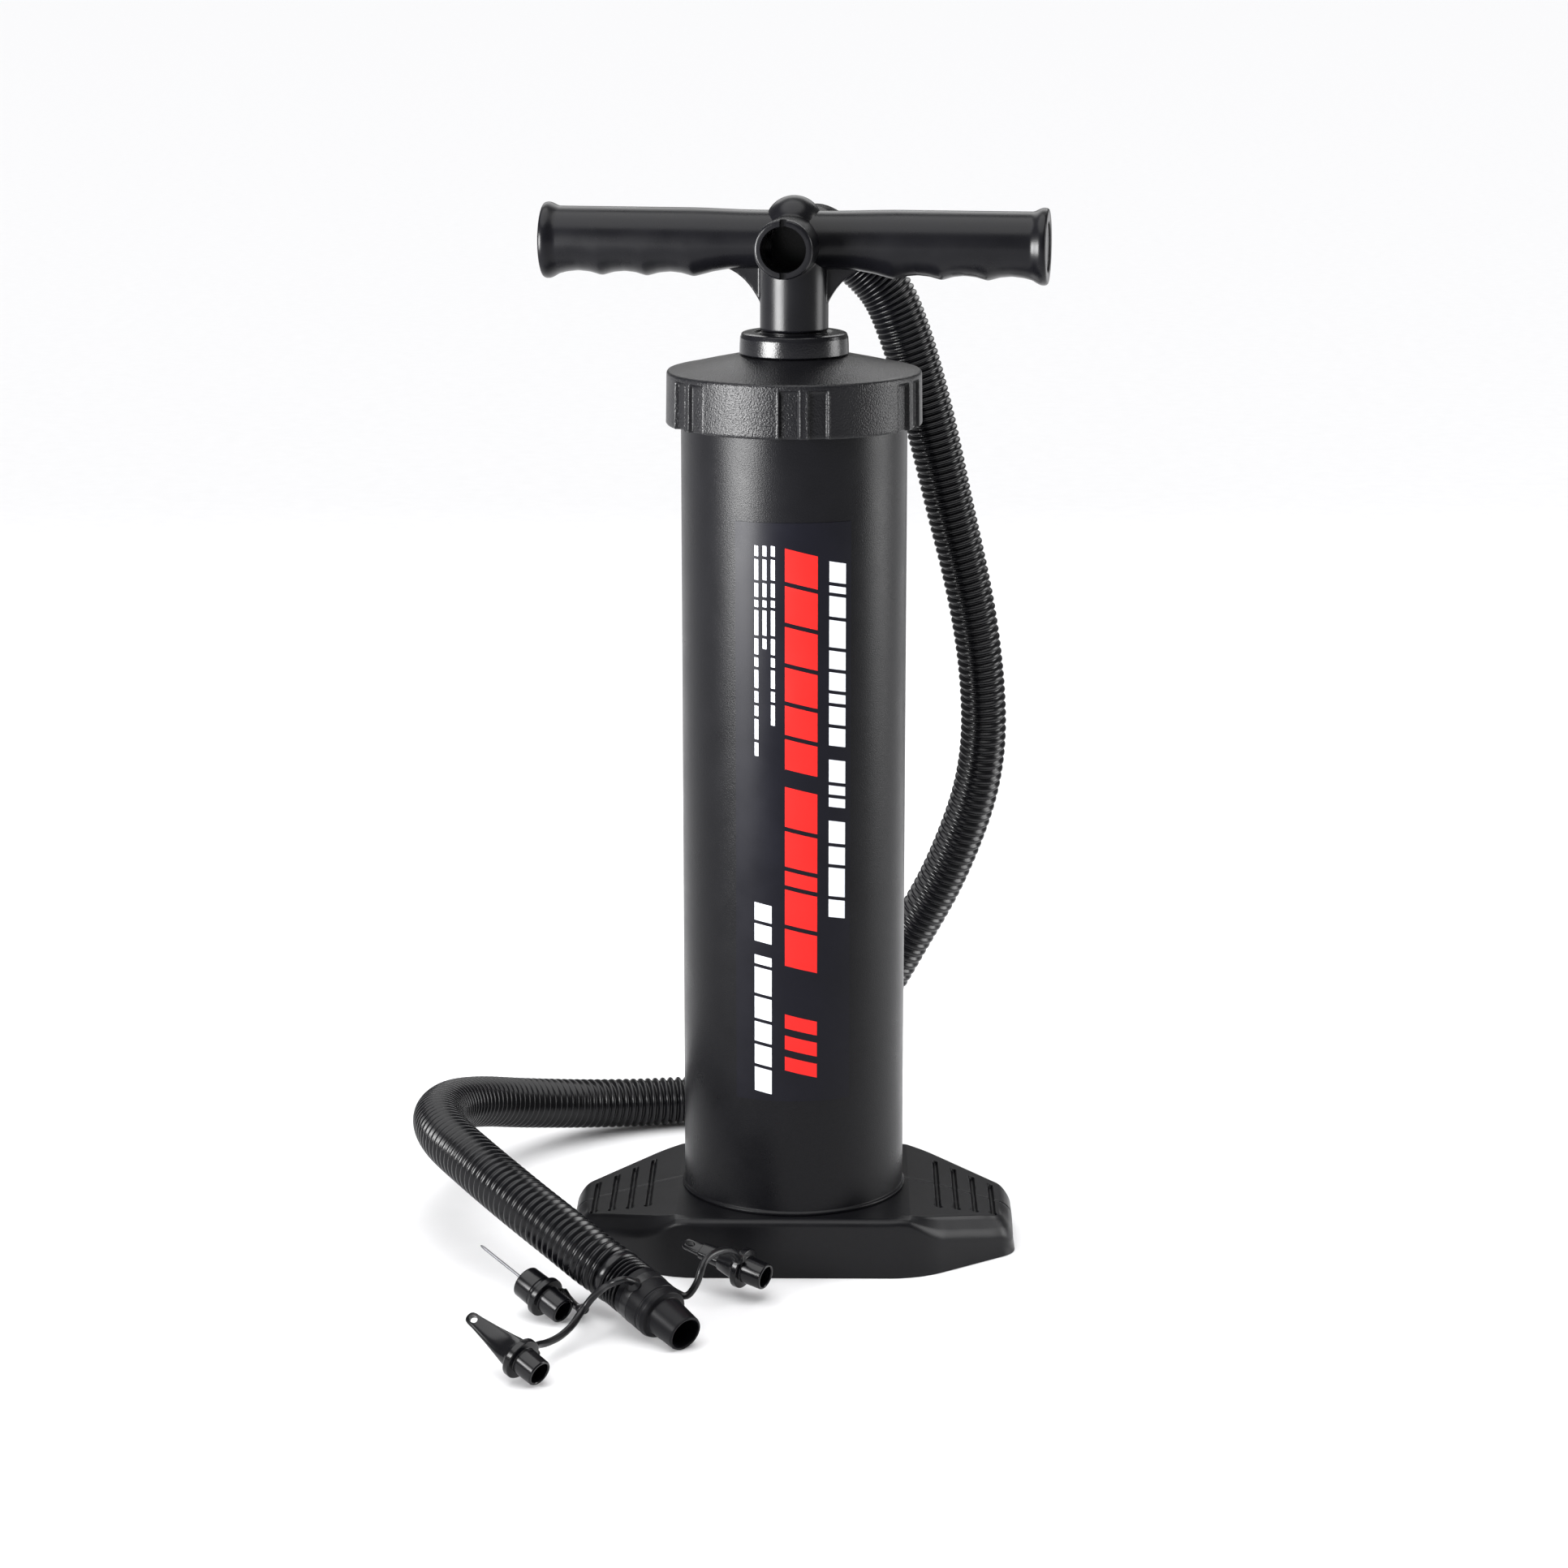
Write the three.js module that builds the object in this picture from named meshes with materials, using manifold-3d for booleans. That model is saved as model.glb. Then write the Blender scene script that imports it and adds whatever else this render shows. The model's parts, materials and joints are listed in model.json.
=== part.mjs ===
// Double action hand pump with a bayonet hose and three adaptors.
// Units are millimetres and +Z is up. The origin is the bottom centre of the foot, on the floor.
// The foot's long side lies along X and the barrel's label faces -Y.
// The handle is at the bottom of its stroke.
import * as THREE from 'three';
import { mergeVertices } from 'three/addons/utils/BufferGeometryUtils.js';
import Module from 'manifold-3d';

const wasm = await Module();
wasm.setup();

// ---- driving dimensions ----

const GAP = 0.3; // between pieces that touch
const COARSE = 10; // sides of small round pieces
const MEDIUM = 24;
const FINE = 32; // sides of the barrel, the cap and the piston

const HEIGHT = 480; // floor to the top of the ball
const STROKE = 235; // travel of the handle

const FOOT = { halfLength: 102, halfEnd: 23, halfFront: 57, halfDepth: 57.2, top: 27.3, end: 17, wall: 3.2 };
const WING_START = 53; // x where the wings begin to slope down
const WING_STOP = 98;
const SOCKET_FLOOR = 12; // the barrel stands in the foot at this height

const BARREL_R = 50.2;
const BORE_R = 48.2;
const BARREL_BOTTOM = SOCKET_FLOOR + GAP;
const BARREL_FLOOR = BARREL_BOTTOM + 3;
const BARREL_TOP = 396.8;

const CAP = { bottom: 380.1, edge: 402.3, shoulder: 403.8, top: 410.2, r: 56.8, inner: 53.2, hole: 19.2 };
const COLLAR_TOP = 420.3;

const ROD_R = 14.6;
const ROD_CHANNEL_R = 12.6;
const ROD_HALF_WALL = 0.9; // half of the wall between its two channels
const STEM_R = 15.1;
const STEM_BOTTOM = COLLAR_TOP + 0.7;

const HANDLE_Z = 459; // axis of the grips
const HANDLE_TURN = THREE.MathUtils.degToRad(-8.1); // the handle stands turned on the foot
const HALF_SPAN = 111.8;
const GRIP_R = 15.1;
const FLARE_R = 16.8;
const BALL_R = 13;
const PORT_R = 13;
const PORT_BORE_R = 10.1;
const PORT_REACH = 33; // axis of the rod to the rim of a port

const PISTON = { bottom: 24, split: 36, top: 48, neck: 66, r: 47.5, plate: 3 };
const VALVE_Y = 31; // intake valves at -VALVE_Y, outlet valves at +VALVE_Y
const VALVE_R = 9;
const VALVE_LIFT = 2.5;

const HOSE_R = 12.2;
const HOSE_STRETCHED_R = 11.3;
const STRAP_R = 1.7;

// ---- materials ----

function plastic(color, roughness) {
  return new THREE.MeshStandardMaterial({ color, roughness, metalness: 0 });
}

const satinBlack = plastic(0x26262a, 0.45);
const grainBlack = plastic(0x2b2b2f, 0.6);
const glossBlack = plastic(0x18181b, 0.25);
const hoseBlack = plastic(0x1a1a1d, 0.35);
const rubber = plastic(0x121214, 0.8);
const naturalPlastic = plastic(0xcfd0cc, 0.5);
const labelFilm = plastic(0x15171f, 0.4);
const steel = new THREE.MeshStandardMaterial({ color: 0xc8cacd, roughness: 0.25, metalness: 1 });

// ---- solids: three.js shapes, joined and cut ----

function withoutSlivers(index) {
  const corners = [];
  for (let i = 0; i < index.length; i += 3) {
    const [a, b, c] = [index[i], index[i + 1], index[i + 2]];
    if (a !== b && b !== c && c !== a) corners.push(a, b, c);
  }
  return corners;
}

function solidFrom(vertProperties, corners) {
  const mesh = new wasm.Mesh({ numProp: 3, vertProperties, triVerts: new Uint32Array(corners) });
  return new wasm.Manifold(mesh);
}

function toSolid(shape) {
  if (shape instanceof wasm.Manifold) return shape;
  const bare = new THREE.BufferGeometry();
  const source = shape.index ? shape.toNonIndexed() : shape;
  bare.setAttribute('position', source.getAttribute('position'));
  const merged = mergeVertices(bare, 1e-4);
  const corners = withoutSlivers(merged.index.array);
  const points = merged.attributes.position.array;
  const made = solidFrom(points, corners);
  return made.volume() > 0 ? made : solidFrom(points, corners.reverse());
}

function join(...shapes) {
  return shapes.map(toSolid).reduce((a, b) => a.add(b));
}

function cut(from, ...tools) {
  return tools.map(toSolid).reduce((a, b) => a.subtract(b), toSolid(from));
}

function common(a, b) {
  return toSolid(a).intersect(toSolid(b));
}

function named(name, material, shape) {
  const { numProp, vertProperties, triVerts } = toSolid(shape).getMesh();
  const geometry = new THREE.BufferGeometry();
  geometry.setAttribute('position', new THREE.BufferAttribute(vertProperties, numProp));
  geometry.setIndex(new THREE.BufferAttribute(triVerts, 1));
  geometry.computeVertexNormals();
  const mesh = new THREE.Mesh(geometry, material);
  mesh.name = name;
  return mesh;
}

// A body turned about Z. The profile is a list of [radius, z]; it is closed if it misses the axis.
function revolve(profile, sides = MEDIUM) {
  const points = profile.map(([r, z]) => new THREE.Vector2(r, z));
  if (profile[0][0] > 0) points.push(points[0].clone());
  return new THREE.LatheGeometry(points, sides).rotateX(Math.PI / 2);
}

function cylinder(r, z0, z1, sides = MEDIUM) {
  return revolve([[0, z0], [r, z0], [r, z1], [0, z1]], sides);
}

function ring(inner, outer, z0, z1, sides = MEDIUM) {
  return revolve([[inner, z0], [outer, z0], [outer, z1], [inner, z1]], sides);
}

function block(x0, x1, y0, y1, z0, z1) {
  const box = new THREE.BoxGeometry(x1 - x0, y1 - y0, z1 - z0);
  return box.translate((x0 + x1) / 2, (y0 + y1) / 2, (z0 + z1) / 2);
}

// A flat shape made thick along Z. Its arcs get twice as many sides as its other curves.
function prism(shape, z0, z1, curveSegments = 3) {
  const options = { depth: z1 - z0, bevelEnabled: false, curveSegments };
  return new THREE.ExtrudeGeometry(shape, options).translate(0, 0, z0);
}

// A side view, drawn in X and Z, given its thickness along Y.
function sidePrism(shape, halfThickness, curveSegments = 4) {
  return prism(shape, -halfThickness, halfThickness, curveSegments).rotateX(Math.PI / 2);
}

const alongX = (shape) => shape.rotateY(Math.PI / 2);
const alongMinusX = (shape) => shape.rotateY(-Math.PI / 2);
const alongY = (shape) => shape.rotateX(-Math.PI / 2);
const alongMinusY = (shape) => shape.rotateX(Math.PI / 2);

// Half a disc with a flat side parallel to X, on the side of +Y or -Y.
function halfDisc(radius, halfWall, side) {
  const start = Math.asin(halfWall / radius);
  const shape = new THREE.Shape();
  if (side > 0) shape.absarc(0, 0, radius, start, Math.PI - start, false);
  else shape.absarc(0, 0, radius, Math.PI + start, 2 * Math.PI - start, false);
  shape.closePath();
  return shape;
}

function tubeAlong(points, radius, sides, steps) {
  const path = new THREE.CatmullRomCurve3(points.map((p) => new THREE.Vector3(...p)), false, 'centripetal');
  const section = new THREE.Shape().absarc(0, 0, radius, 0, 2 * Math.PI, false);
  const options = { extrudePath: path, steps, curveSegments: sides / 2, bevelEnabled: false };
  return new THREE.ExtrudeGeometry(section, options);
}

function fourCorners(x, y) {
  return [[x, y], [-x, y], [-x, -y], [x, -y]];
}

// ---- foot: a ribbed plate with two sloping wings and the barrel's socket ----

// A polygon whose corners are rounded off over the distance given with each.
function roundedPolygon(corners) {
  const shape = new THREE.Shape();
  corners.forEach(([x, y, round], i) => {
    const [px, py] = corners.at(i - 1);
    const [nx, ny] = corners[(i + 1) % corners.length];
    const here = new THREE.Vector2(x, y);
    const before = here.clone().add(new THREE.Vector2(px - x, py - y).setLength(round));
    const after = here.clone().add(new THREE.Vector2(nx - x, ny - y).setLength(round));
    if (i === 0) shape.moveTo(before.x, before.y);
    else shape.lineTo(before.x, before.y);
    shape.quadraticCurveTo(x, y, after.x, after.y);
  });
  shape.closePath();
  return shape;
}

function footOutline(inset) {
  const x = FOOT.halfLength - inset;
  const e = FOOT.halfEnd - inset / 2;
  const f = FOOT.halfFront - inset / 4;
  const y = FOOT.halfDepth - inset;
  return roundedPolygon([
    [x, -e, 5], [x, e, 5], [f, y, 12], [-f, y, 12],
    [-x, e, 5], [-x, -e, 5], [-f, -y, 12], [f, -y, 12],
  ]);
}

function footRoof(inset, drop) {
  const top = FOOT.top - drop;
  const end = FOOT.end - drop;
  const x = FOOT.halfLength - inset + 1;
  const roof = new THREE.Shape();
  roof.moveTo(-x, -1);
  roof.lineTo(-x, end - 9);
  roof.quadraticCurveTo(-x, end - 1, -WING_STOP, end);
  roof.lineTo(-WING_START, top);
  roof.lineTo(WING_START, top);
  roof.lineTo(WING_STOP, end);
  roof.quadraticCurveTo(x, end - 1, x, end - 9);
  roof.lineTo(x, -1);
  return sidePrism(roof, 60);
}

function footEdges(inset, drop) {
  const y = FOOT.halfDepth - inset;
  const top = FOOT.top - drop;
  const edges = new THREE.Shape();
  edges.moveTo(-y, -1);
  edges.lineTo(-y, top - 5);
  edges.quadraticCurveTo(-y, top - 1, -y + 5, top);
  edges.lineTo(y - 5, top);
  edges.quadraticCurveTo(y, top - 1, y, top - 5);
  edges.lineTo(y, -1);
  return sidePrism(edges, 110).rotateZ(Math.PI / 2);
}

function footShell(inset, drop, bottom) {
  const plan = prism(footOutline(inset), bottom, 40);
  return common(common(plan, footRoof(inset, drop)), footEdges(inset, drop));
}

// Four grooves across a wing, cut square to its slope.
function wingGrooves(side) {
  const slope = Math.atan2(FOOT.top - FOOT.end, WING_STOP - WING_START);
  const grooves = [];
  for (let i = 0; i < 4; i += 1) {
    const x = side * (13.6 + 8.7 * i);
    const half = 1.7;
    const front = -28 + 2.4 * i;
    const back = 38.5 - 5.7 * i;
    const slot = new THREE.Shape();
    slot.absarc(x, back - half, half, 0, Math.PI, false);
    slot.absarc(x, front + half, half, Math.PI, 2 * Math.PI, false);
    slot.closePath();
    const groove = prism(slot, -0.9, 6).rotateY(side * slope);
    grooves.push(groove.translate(side * WING_START, 0, FOOT.top));
  }
  return grooves;
}

function footPlate() {
  const outer = footShell(0, 0, 0);
  const hollow = cut(footShell(FOOT.wall, FOOT.wall, -1), cylinder(BARREL_R + 4, 9, 40, FINE));
  const ribs = [
    block(-110, 110, -1.2, 1.2, 2, 40),
    block(-1.2, 1.2, -60, 60, 2, 40),
    ...[-70, -48, 48, 70].map((x) => block(x - 1.2, x + 1.2, -60, 60, 2, 40)),
    cylinder(14, 0, 40),
  ];
  const socket = cylinder(BARREL_R + GAP, SOCKET_FLOOR, 40, FINE);
  const holes = fourCorners(28, 28).map(([x, y]) => cylinder(1.9, 0, 20, COARSE).translate(x, y, 0));
  return cut(outer, cut(hollow, ...ribs), socket, ...holes, ...wingGrooves(1), ...wingGrooves(-1));
}

// ---- screws ----

// A pan head screw that points up, with its head's seat at z = 0 and a cross recess.
function screw(headR, headHeight, shankR, length) {
  const body = revolve([
    [0, -headHeight], [headR * 0.8, -headHeight], [headR, -headHeight * 0.5], [headR, 0],
    [shankR, 0], [shankR, length], [0, length],
  ], COARSE);
  const arm = headR * 0.6;
  const recess = [
    block(-arm, arm, -0.4, 0.4, -headHeight - 1, -headHeight * 0.5),
    block(-0.4, 0.4, -arm, arm, -headHeight - 1, -headHeight * 0.5),
  ];
  return cut(body, ...recess);
}

// ---- barrel, cap and rod guide ----

function barrel() {
  const ridge = (z) => [[BARREL_R, z], [51.8, z + 0.8], [51.8, z + 2.2], [BARREL_R, z + 3]];
  const beadTop = FOOT.top + GAP + 1.6;
  const tube = revolve([
    [0, BARREL_BOTTOM], [BARREL_R - 0.5, BARREL_BOTTOM], [BARREL_R, BARREL_BOTTOM + 0.5],
    [BARREL_R, FOOT.top + GAP], [BARREL_R + 1.1, FOOT.top + GAP + 0.2],
    [BARREL_R + 1.1, beadTop - 0.4], [BARREL_R, beadTop],
    ...ridge(383.5), ...ridge(389.5),
    [BARREL_R, BARREL_TOP], [BORE_R, BARREL_TOP], [BORE_R, BARREL_FLOOR], [0, BARREL_FLOOR],
  ], FINE);
  const bosses = fourCorners(28, 28).map(([x, y]) =>
    cylinder(5, BARREL_FLOOR - 1, 19, COARSE).translate(x, y, 0));
  const holes = fourCorners(28, 28).map(([x, y]) => cylinder(1.8, 0, 18, COARSE).translate(x, y, 0));
  return cut(join(tube, ...bosses), ...holes);
}

// Six pairs of grip flutes round the cap, each pair with a narrow ridge between.
function capFlutes() {
  const flutes = [];
  for (let pair = 0; pair < 6; pair += 1) {
    for (const side of [-1, 1]) {
      const angle = THREE.MathUtils.degToRad(-90 + 4.7 + 60 * pair + 6.4 * side);
      const flute = block(CAP.r - 1.5, CAP.r + 3, -4.1, 4.1, CAP.bottom - 1, CAP.edge - 1.2);
      flutes.push(flute.rotateZ(angle));
    }
  }
  return flutes;
}

function screwCap() {
  const body = revolve([
    [CAP.inner, CAP.bottom], [CAP.r, CAP.bottom], [CAP.r - 0.4, CAP.edge], [CAP.r - 1.4, CAP.shoulder],
    [25.2, CAP.top], [CAP.hole, CAP.top], [CAP.hole, 406.6], [23, 406.6], [46, 399.7], [CAP.inner, 399.7],
  ], FINE);
  return cut(body, ...capFlutes());
}

function rodGuide() {
  const inner = ROD_R + 0.4;
  const outer = CAP.hole - GAP;
  const bottom = PISTON.neck + STROKE + 2;
  return revolve([
    [inner, bottom], [outer, bottom], [outer, 401], [23, 403.5], [23, 406.3],
    [outer, 406.3], [outer, CAP.top - GAP], [inner, CAP.top - GAP],
  ]);
}

function glandCollar() {
  const inner = ROD_R + 0.6;
  return revolve([
    [inner, CAP.top + GAP], [24.3, CAP.top + GAP], [23.8, COLLAR_TOP - 1.8], [22.4, COLLAR_TOP],
    [inner, COLLAR_TOP], [inner, 417.2], [18.6, 417.2], [18.6, 413.2], [inner, 413.2],
  ], FINE);
}

function rodSeal() {
  return new THREE.TorusGeometry(16.6, 1.7, 6, MEDIUM).translate(0, 0, 415.2);
}

function capGasket() {
  return ring(BORE_R + 0.2, 52.6, BARREL_TOP + GAP, 399.4, FINE);
}

// A printed film that covers part of the barrel's front.
function labelFilmPiece() {
  const inner = BARREL_R + GAP;
  const outer = inner + 0.4;
  const half = THREE.MathUtils.degToRad(29.9);
  const middle = -Math.PI / 2;
  const shape = new THREE.Shape();
  shape.absarc(0, 0, outer, middle - half, middle + half, false);
  shape.absarc(0, 0, inner, middle + half, middle - half, true);
  shape.closePath();
  return prism(shape, 81.5, 343, 5);
}

// ---- rod and piston ----

function twinChannels(radius, halfWall, z0, z1) {
  return [-1, 1].map((side) => prism(halfDisc(radius, halfWall, side), z0, z1, 6));
}

function rod() {
  const bar = cylinder(ROD_R, PISTON.top + 1 + GAP, STEM_BOTTOM - GAP);
  return cut(bar, ...twinChannels(ROD_CHANNEL_R, ROD_HALF_WALL, 0, HEIGHT));
}

function valveWindows(y, z0, z1) {
  const holes = [cylinder(1.8, z0, z1, 6).translate(0, y, 0)];
  for (let i = 0; i < 6; i += 1) {
    const angle = (i * Math.PI) / 3;
    holes.push(cylinder(2, z0, z1, 6).translate(5.6 * Math.cos(angle), y + 5.6 * Math.sin(angle), 0));
  }
  return holes;
}

const PISTON_SCREWS = fourCorners(31, 15);

function pistonLower() {
  const { bottom, split, r, plate } = PISTON;
  const drum = revolve([
    [0, bottom], [r, bottom], [r, 29.4], [45.2, 29.4], [45.2, 32.6], [r, 32.6], [r, split], [0, split],
  ], FINE);
  const bosses = PISTON_SCREWS.map(([x, y]) => cylinder(4.2, bottom + 1, split, COARSE).translate(x, y, 0));
  const open = cut(drum, ...twinChannels(43, 1.6, bottom + plate, split + 1));
  const holes = PISTON_SCREWS.map(([x, y]) => cylinder(1.6, 28, split + 1, 6).translate(x, y, 0));
  return cut(
    join(open, ...bosses), ...holes,
    ...valveWindows(-VALVE_Y, bottom - 1, bottom + plate + 1), ...valveWindows(VALVE_Y, bottom - 1, bottom + plate + 1),
  );
}

function pistonUpper() {
  const { split, top, neck, r, plate } = PISTON;
  const drum = revolve([
    [0, split + GAP], [r, split + GAP], [r, 39.7], [45.2, 39.7], [45.2, 42.9], [r, 42.9], [r, top],
    [19, top], [18.4, neck], [0, neck],
  ], FINE);
  const bosses = PISTON_SCREWS.map(([x, y]) =>
    cylinder(4.2, split + GAP, top - 1, COARSE).translate(x, y, 0));
  const open = cut(
    drum, cylinder(ROD_R + 0.4, top + 1, neck + 1), ...twinChannels(43, 1.6, split, top - plate),
    ...twinChannels(12, 1.5, split, top + 2),
  );
  const holes = PISTON_SCREWS.map(([x, y]) => cylinder(1.6, split, top + 1, 6).translate(x, y, 0));
  return cut(
    join(open, ...bosses), ...holes,
    ...valveWindows(-VALVE_Y, top - plate - 1, top + 1), ...valveWindows(VALVE_Y, top - plate - 1, top + 1),
  );
}

function pistonSeal(z) {
  return ring(45.5, BORE_R - 0.2, z + GAP, z + 3.2 - GAP, FINE);
}

// A mushroom valve: a disc on one side of its plate, and a stem with a barb on the other.
function mushroomValve() {
  const reach = PISTON.plate + VALVE_LIFT + 0.7;
  return revolve([
    [0, 1.2], [VALVE_R, 1.2], [VALVE_R, 0.4], [VALVE_R - 1, 0], [1.3, 0], [1.3, -reach],
    [2.2, -reach - 0.2], [1.1, -reach - 1.5], [0, -reach - 1.5],
  ], COARSE);
}

function valve(name, y, z, opensUp) {
  const mesh = named(name, rubber, mushroomValve());
  mesh.position.set(0, y, z);
  if (!opensUp) mesh.rotation.x = Math.PI;
  return mesh;
}

// ---- handle: two grips, a hub with two bayonet ports, and the stem ----

function gripBar() {
  const half = [
    [FLARE_R - 0.8, HALF_SPAN], [FLARE_R, HALF_SPAN - 0.6], [FLARE_R - 0.2, HALF_SPAN - 1.8],
    [GRIP_R + 0.3, HALF_SPAN - 5], [GRIP_R, HALF_SPAN - 6.5],
  ];
  const lower = half.map(([r, x]) => [r, -x]);
  return alongX(revolve([[0, -HALF_SPAN], ...lower, ...half.reverse(), [0, HALF_SPAN]]));
}

// Everything under the grips' finger hollows, seen from the front.
function fingerHollows() {
  const tips = [44.5, 65.5, 85.6];
  const tipZ = -15;
  const hollowZ = -11.2;
  const inner = 27;
  const innerZ = -11.8;
  const under = new THREE.Shape();
  under.moveTo(-HALF_SPAN, -30);
  under.lineTo(-108.5, -16.2);
  under.quadraticCurveTo(-96, hollowZ, -tips[2], tipZ);
  under.quadraticCurveTo(-75.5, hollowZ, -tips[1], tipZ);
  under.quadraticCurveTo(-55, hollowZ, -tips[0], tipZ);
  under.quadraticCurveTo(-36, -12.6, -inner, innerZ);
  under.lineTo(inner, innerZ);
  under.quadraticCurveTo(36, -12.6, tips[0], tipZ);
  under.quadraticCurveTo(55, hollowZ, tips[1], tipZ);
  under.quadraticCurveTo(75.5, hollowZ, tips[2], tipZ);
  under.quadraticCurveTo(96, hollowZ, 108.5, -16.2);
  under.lineTo(HALF_SPAN, -30);
  return sidePrism(under, 20);
}

function ball() {
  const centre = HEIGHT - HANDLE_Z - BALL_R;
  const profile = [[0, -6], [BALL_R, -6]];
  for (let i = 0; i <= 6; i += 1) {
    const angle = (i * Math.PI) / 12;
    profile.push([BALL_R * Math.cos(angle) * (i < 6 ? 1 : 0), centre + BALL_R * Math.sin(angle)]);
  }
  return revolve(profile);
}

function gussets() {
  const web = new THREE.Shape();
  web.moveTo(-30, -9);
  web.lineTo(30, -9);
  web.lineTo(28.5, -12.4);
  web.quadraticCurveTo(21.3, -14.7, 14.8, -25.6);
  web.lineTo(-14.8, -25.6);
  web.quadraticCurveTo(-21.3, -14.7, -28.5, -12.4);
  return sidePrism(web, 3);
}

function portTube() {
  return alongY(revolve([
    [0, -PORT_REACH], [PORT_R - 0.6, -PORT_REACH], [PORT_R, -PORT_REACH + 0.6],
    [PORT_R, PORT_REACH - 0.6], [PORT_R - 0.6, PORT_REACH], [0, PORT_REACH],
  ]));
}

// What a port is cut with: its bore, the bayonet's groove and slots, and the notches in its rim.
function portCutters(turn) {
  const end = PORT_REACH + 1;
  return [
    turn(cylinder(PORT_BORE_R, 1.5, end)),
    turn(ring(9, 11.4, 26, 29.5)),
    turn(block(-2, 2, -11.4, 11.4, 26, end)),
    turn(block(-1.6, 1.6, -14, 14, PORT_REACH - 2.6, end)),
  ];
}

function handleBody() {
  const stemBottom = STEM_BOTTOM - HANDLE_Z;
  const spigotBottom = stemBottom - 16;
  const body = join(
    cut(gripBar(), fingerHollows()), ball(), portTube(), cylinder(STEM_R, stemBottom, 0), gussets(),
    ...twinChannels(12.3, 1.2, spigotBottom, stemBottom + 1),
  );
  return cut(
    body, ...portCutters(alongMinusY), ...portCutters(alongY), ...twinChannels(11.1, 2.4, spigotBottom - 1, 0),
    alongX(cylinder(10.8, 40, 115)), alongMinusX(cylinder(10.8, 40, 115)),
  );
}

function gripPlug() {
  return revolve([
    [0, 107.8], [8.4, 107.8], [8.4, 98], [10.5, 98], [10.5, HALF_SPAN - 1.2], [9.9, HALF_SPAN - 0.6],
    [0, HALF_SPAN - 0.6],
  ], COARSE);
}

const CONNECTOR_END = 56;

function hoseConnector() {
  const body = alongY(revolve([
    [7.6, 12], [9.8, 12], [9.8, 16.9], [8.3, 16.9], [8.3, 19.3], [9.8, 19.3], [9.8, PORT_REACH + GAP],
    [13.2, PORT_REACH + GAP], [13.2, 36.3], [12.4, 36.9], [12.4, 54], [11.6, CONNECTOR_END],
    [7.6, CONNECTOR_END],
  ]));
  const lug = (angle) => block(-1.7, 1.7, 26.6, 29, 9, 11.1).rotateY(THREE.MathUtils.degToRad(angle));
  return join(body, lug(40), lug(220));
}

function connectorSeal() {
  return new THREE.TorusGeometry(9.2, 0.75, 5, MEDIUM).rotateX(Math.PI / 2).translate(0, 18.1, 0);
}

// ---- hose ----

// Centre line, from the rear connector down to the floor behind the barrel.
const HANGING_ROUTE = [
  [7.95, 55.85, 459], [9.6, 67.5, 458.6], [12.8, 77, 456.6], [20, 84.5, 451], [30, 88.5, 442.5],
  [41.5, 90.5, 430], [50.5, 93.5, 409], [58.5, 97, 383], [65.5, 100.5, 356], [72.5, 104, 326],
  [80, 108.5, 295], [85.6, 112.5, 267], [89.3, 117.5, 238], [90.3, 122.5, 210], [87.3, 129.5, 184],
  [79.7, 137.5, 157], [69.6, 145, 131], [56, 152.5, 104], [41.5, 159.5, 76], [28.5, 164, 53],
];

// Centre line, from there along the floor and over a low arch to the cuff.
const FLOOR_ROUTE = [
  [28.1, 164.15, 52.3], [24.5, 165.4, 46], [10, 168.3, 30], [-6, 169.8, 20.5], [-22, 170.3, 14.8],
  [-40, 169.6, 12.6],
  [-59, 167.5, 12.6], [-79, 162, 13.2], [-107, 148, 17], [-135, 122, 25.5], [-153, 94, 35],
  [-164, 64, 42.5], [-167, 31, 47], [-160, -3, 48.5], [-145, -34, 47], [-130, -58, 43.5],
  [-114, -78, 38], [-98.6, -93.5, 31.5], [-84.2, -107.4, 25], [-75, -113.4, 21], [-67.6, -121.5, 17.8],
];

const CUFF_START = new THREE.Vector3(-67.2, -122, 17.8);
const CUFF_AIM = new THREE.Vector3(0.634, -0.722, -0.284).normalize();
const CUFF_LENGTH = 20.5;
const NOZZLE_END = 35.2;

function nozzleCuff() {
  return revolve([
    [6.9, 0], [12.05, 0], [12.05, 16.8], [11.5, 19.2], [10.4, CUFF_LENGTH], [9, CUFF_LENGTH],
    [8.2, NOZZLE_END - 0.7], [7.7, NOZZLE_END], [6.9, NOZZLE_END],
  ], MEDIUM);
}

function strapBand() {
  return ring(12.05 + GAP, 13.3, 3.5, 8, MEDIUM);
}

const BLADE_STRAP = [
  [-68.4, -134.6, 26.7], [-71.5, -138, 29], [-76, -139, 28], [-81.2, -133.5, 23], [-86, -131.5, 18],
  [-88.9, -131.6, 14], [-91, -133.5, 11.7], [-93.8, -139.6, 9], [-98.8, -150, 7.5], [-104, -159, 8],
  [-107, -165, 9.5], [-108.5, -171, 10.4],
];
const NEEDLE_STRAP = [
  [-90.4, -128.8, 12.6], [-91.6, -125, 11], [-92.4, -119, 8.6], [-93, -112.6, 6.6], [-95.2, -107.4, 6.1],
  [-97.9, -103.6, 7.4], [-100.4, -100.5, 9.6],
];
const STEP_STRAP = [
  [-52.6, -117, 16.8], [-49.5, -115.6, 14.6], [-46, -116, 13.2], [-43, -115.5, 16], [-40.4, -115, 21],
  [-39.2, -114, 25], [-37.6, -111, 28], [-34, -106, 29.3], [-28.5, -98, 28], [-25.2, -92.5, 24.6],
  [-24, -88.6, 21.1],
];

// ---- adaptors: each points its open spigot along +Z, with the spigot's end at z = 0 ----

const SPIGOT = 10.5;
const FLANGE = 13.5;

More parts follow.
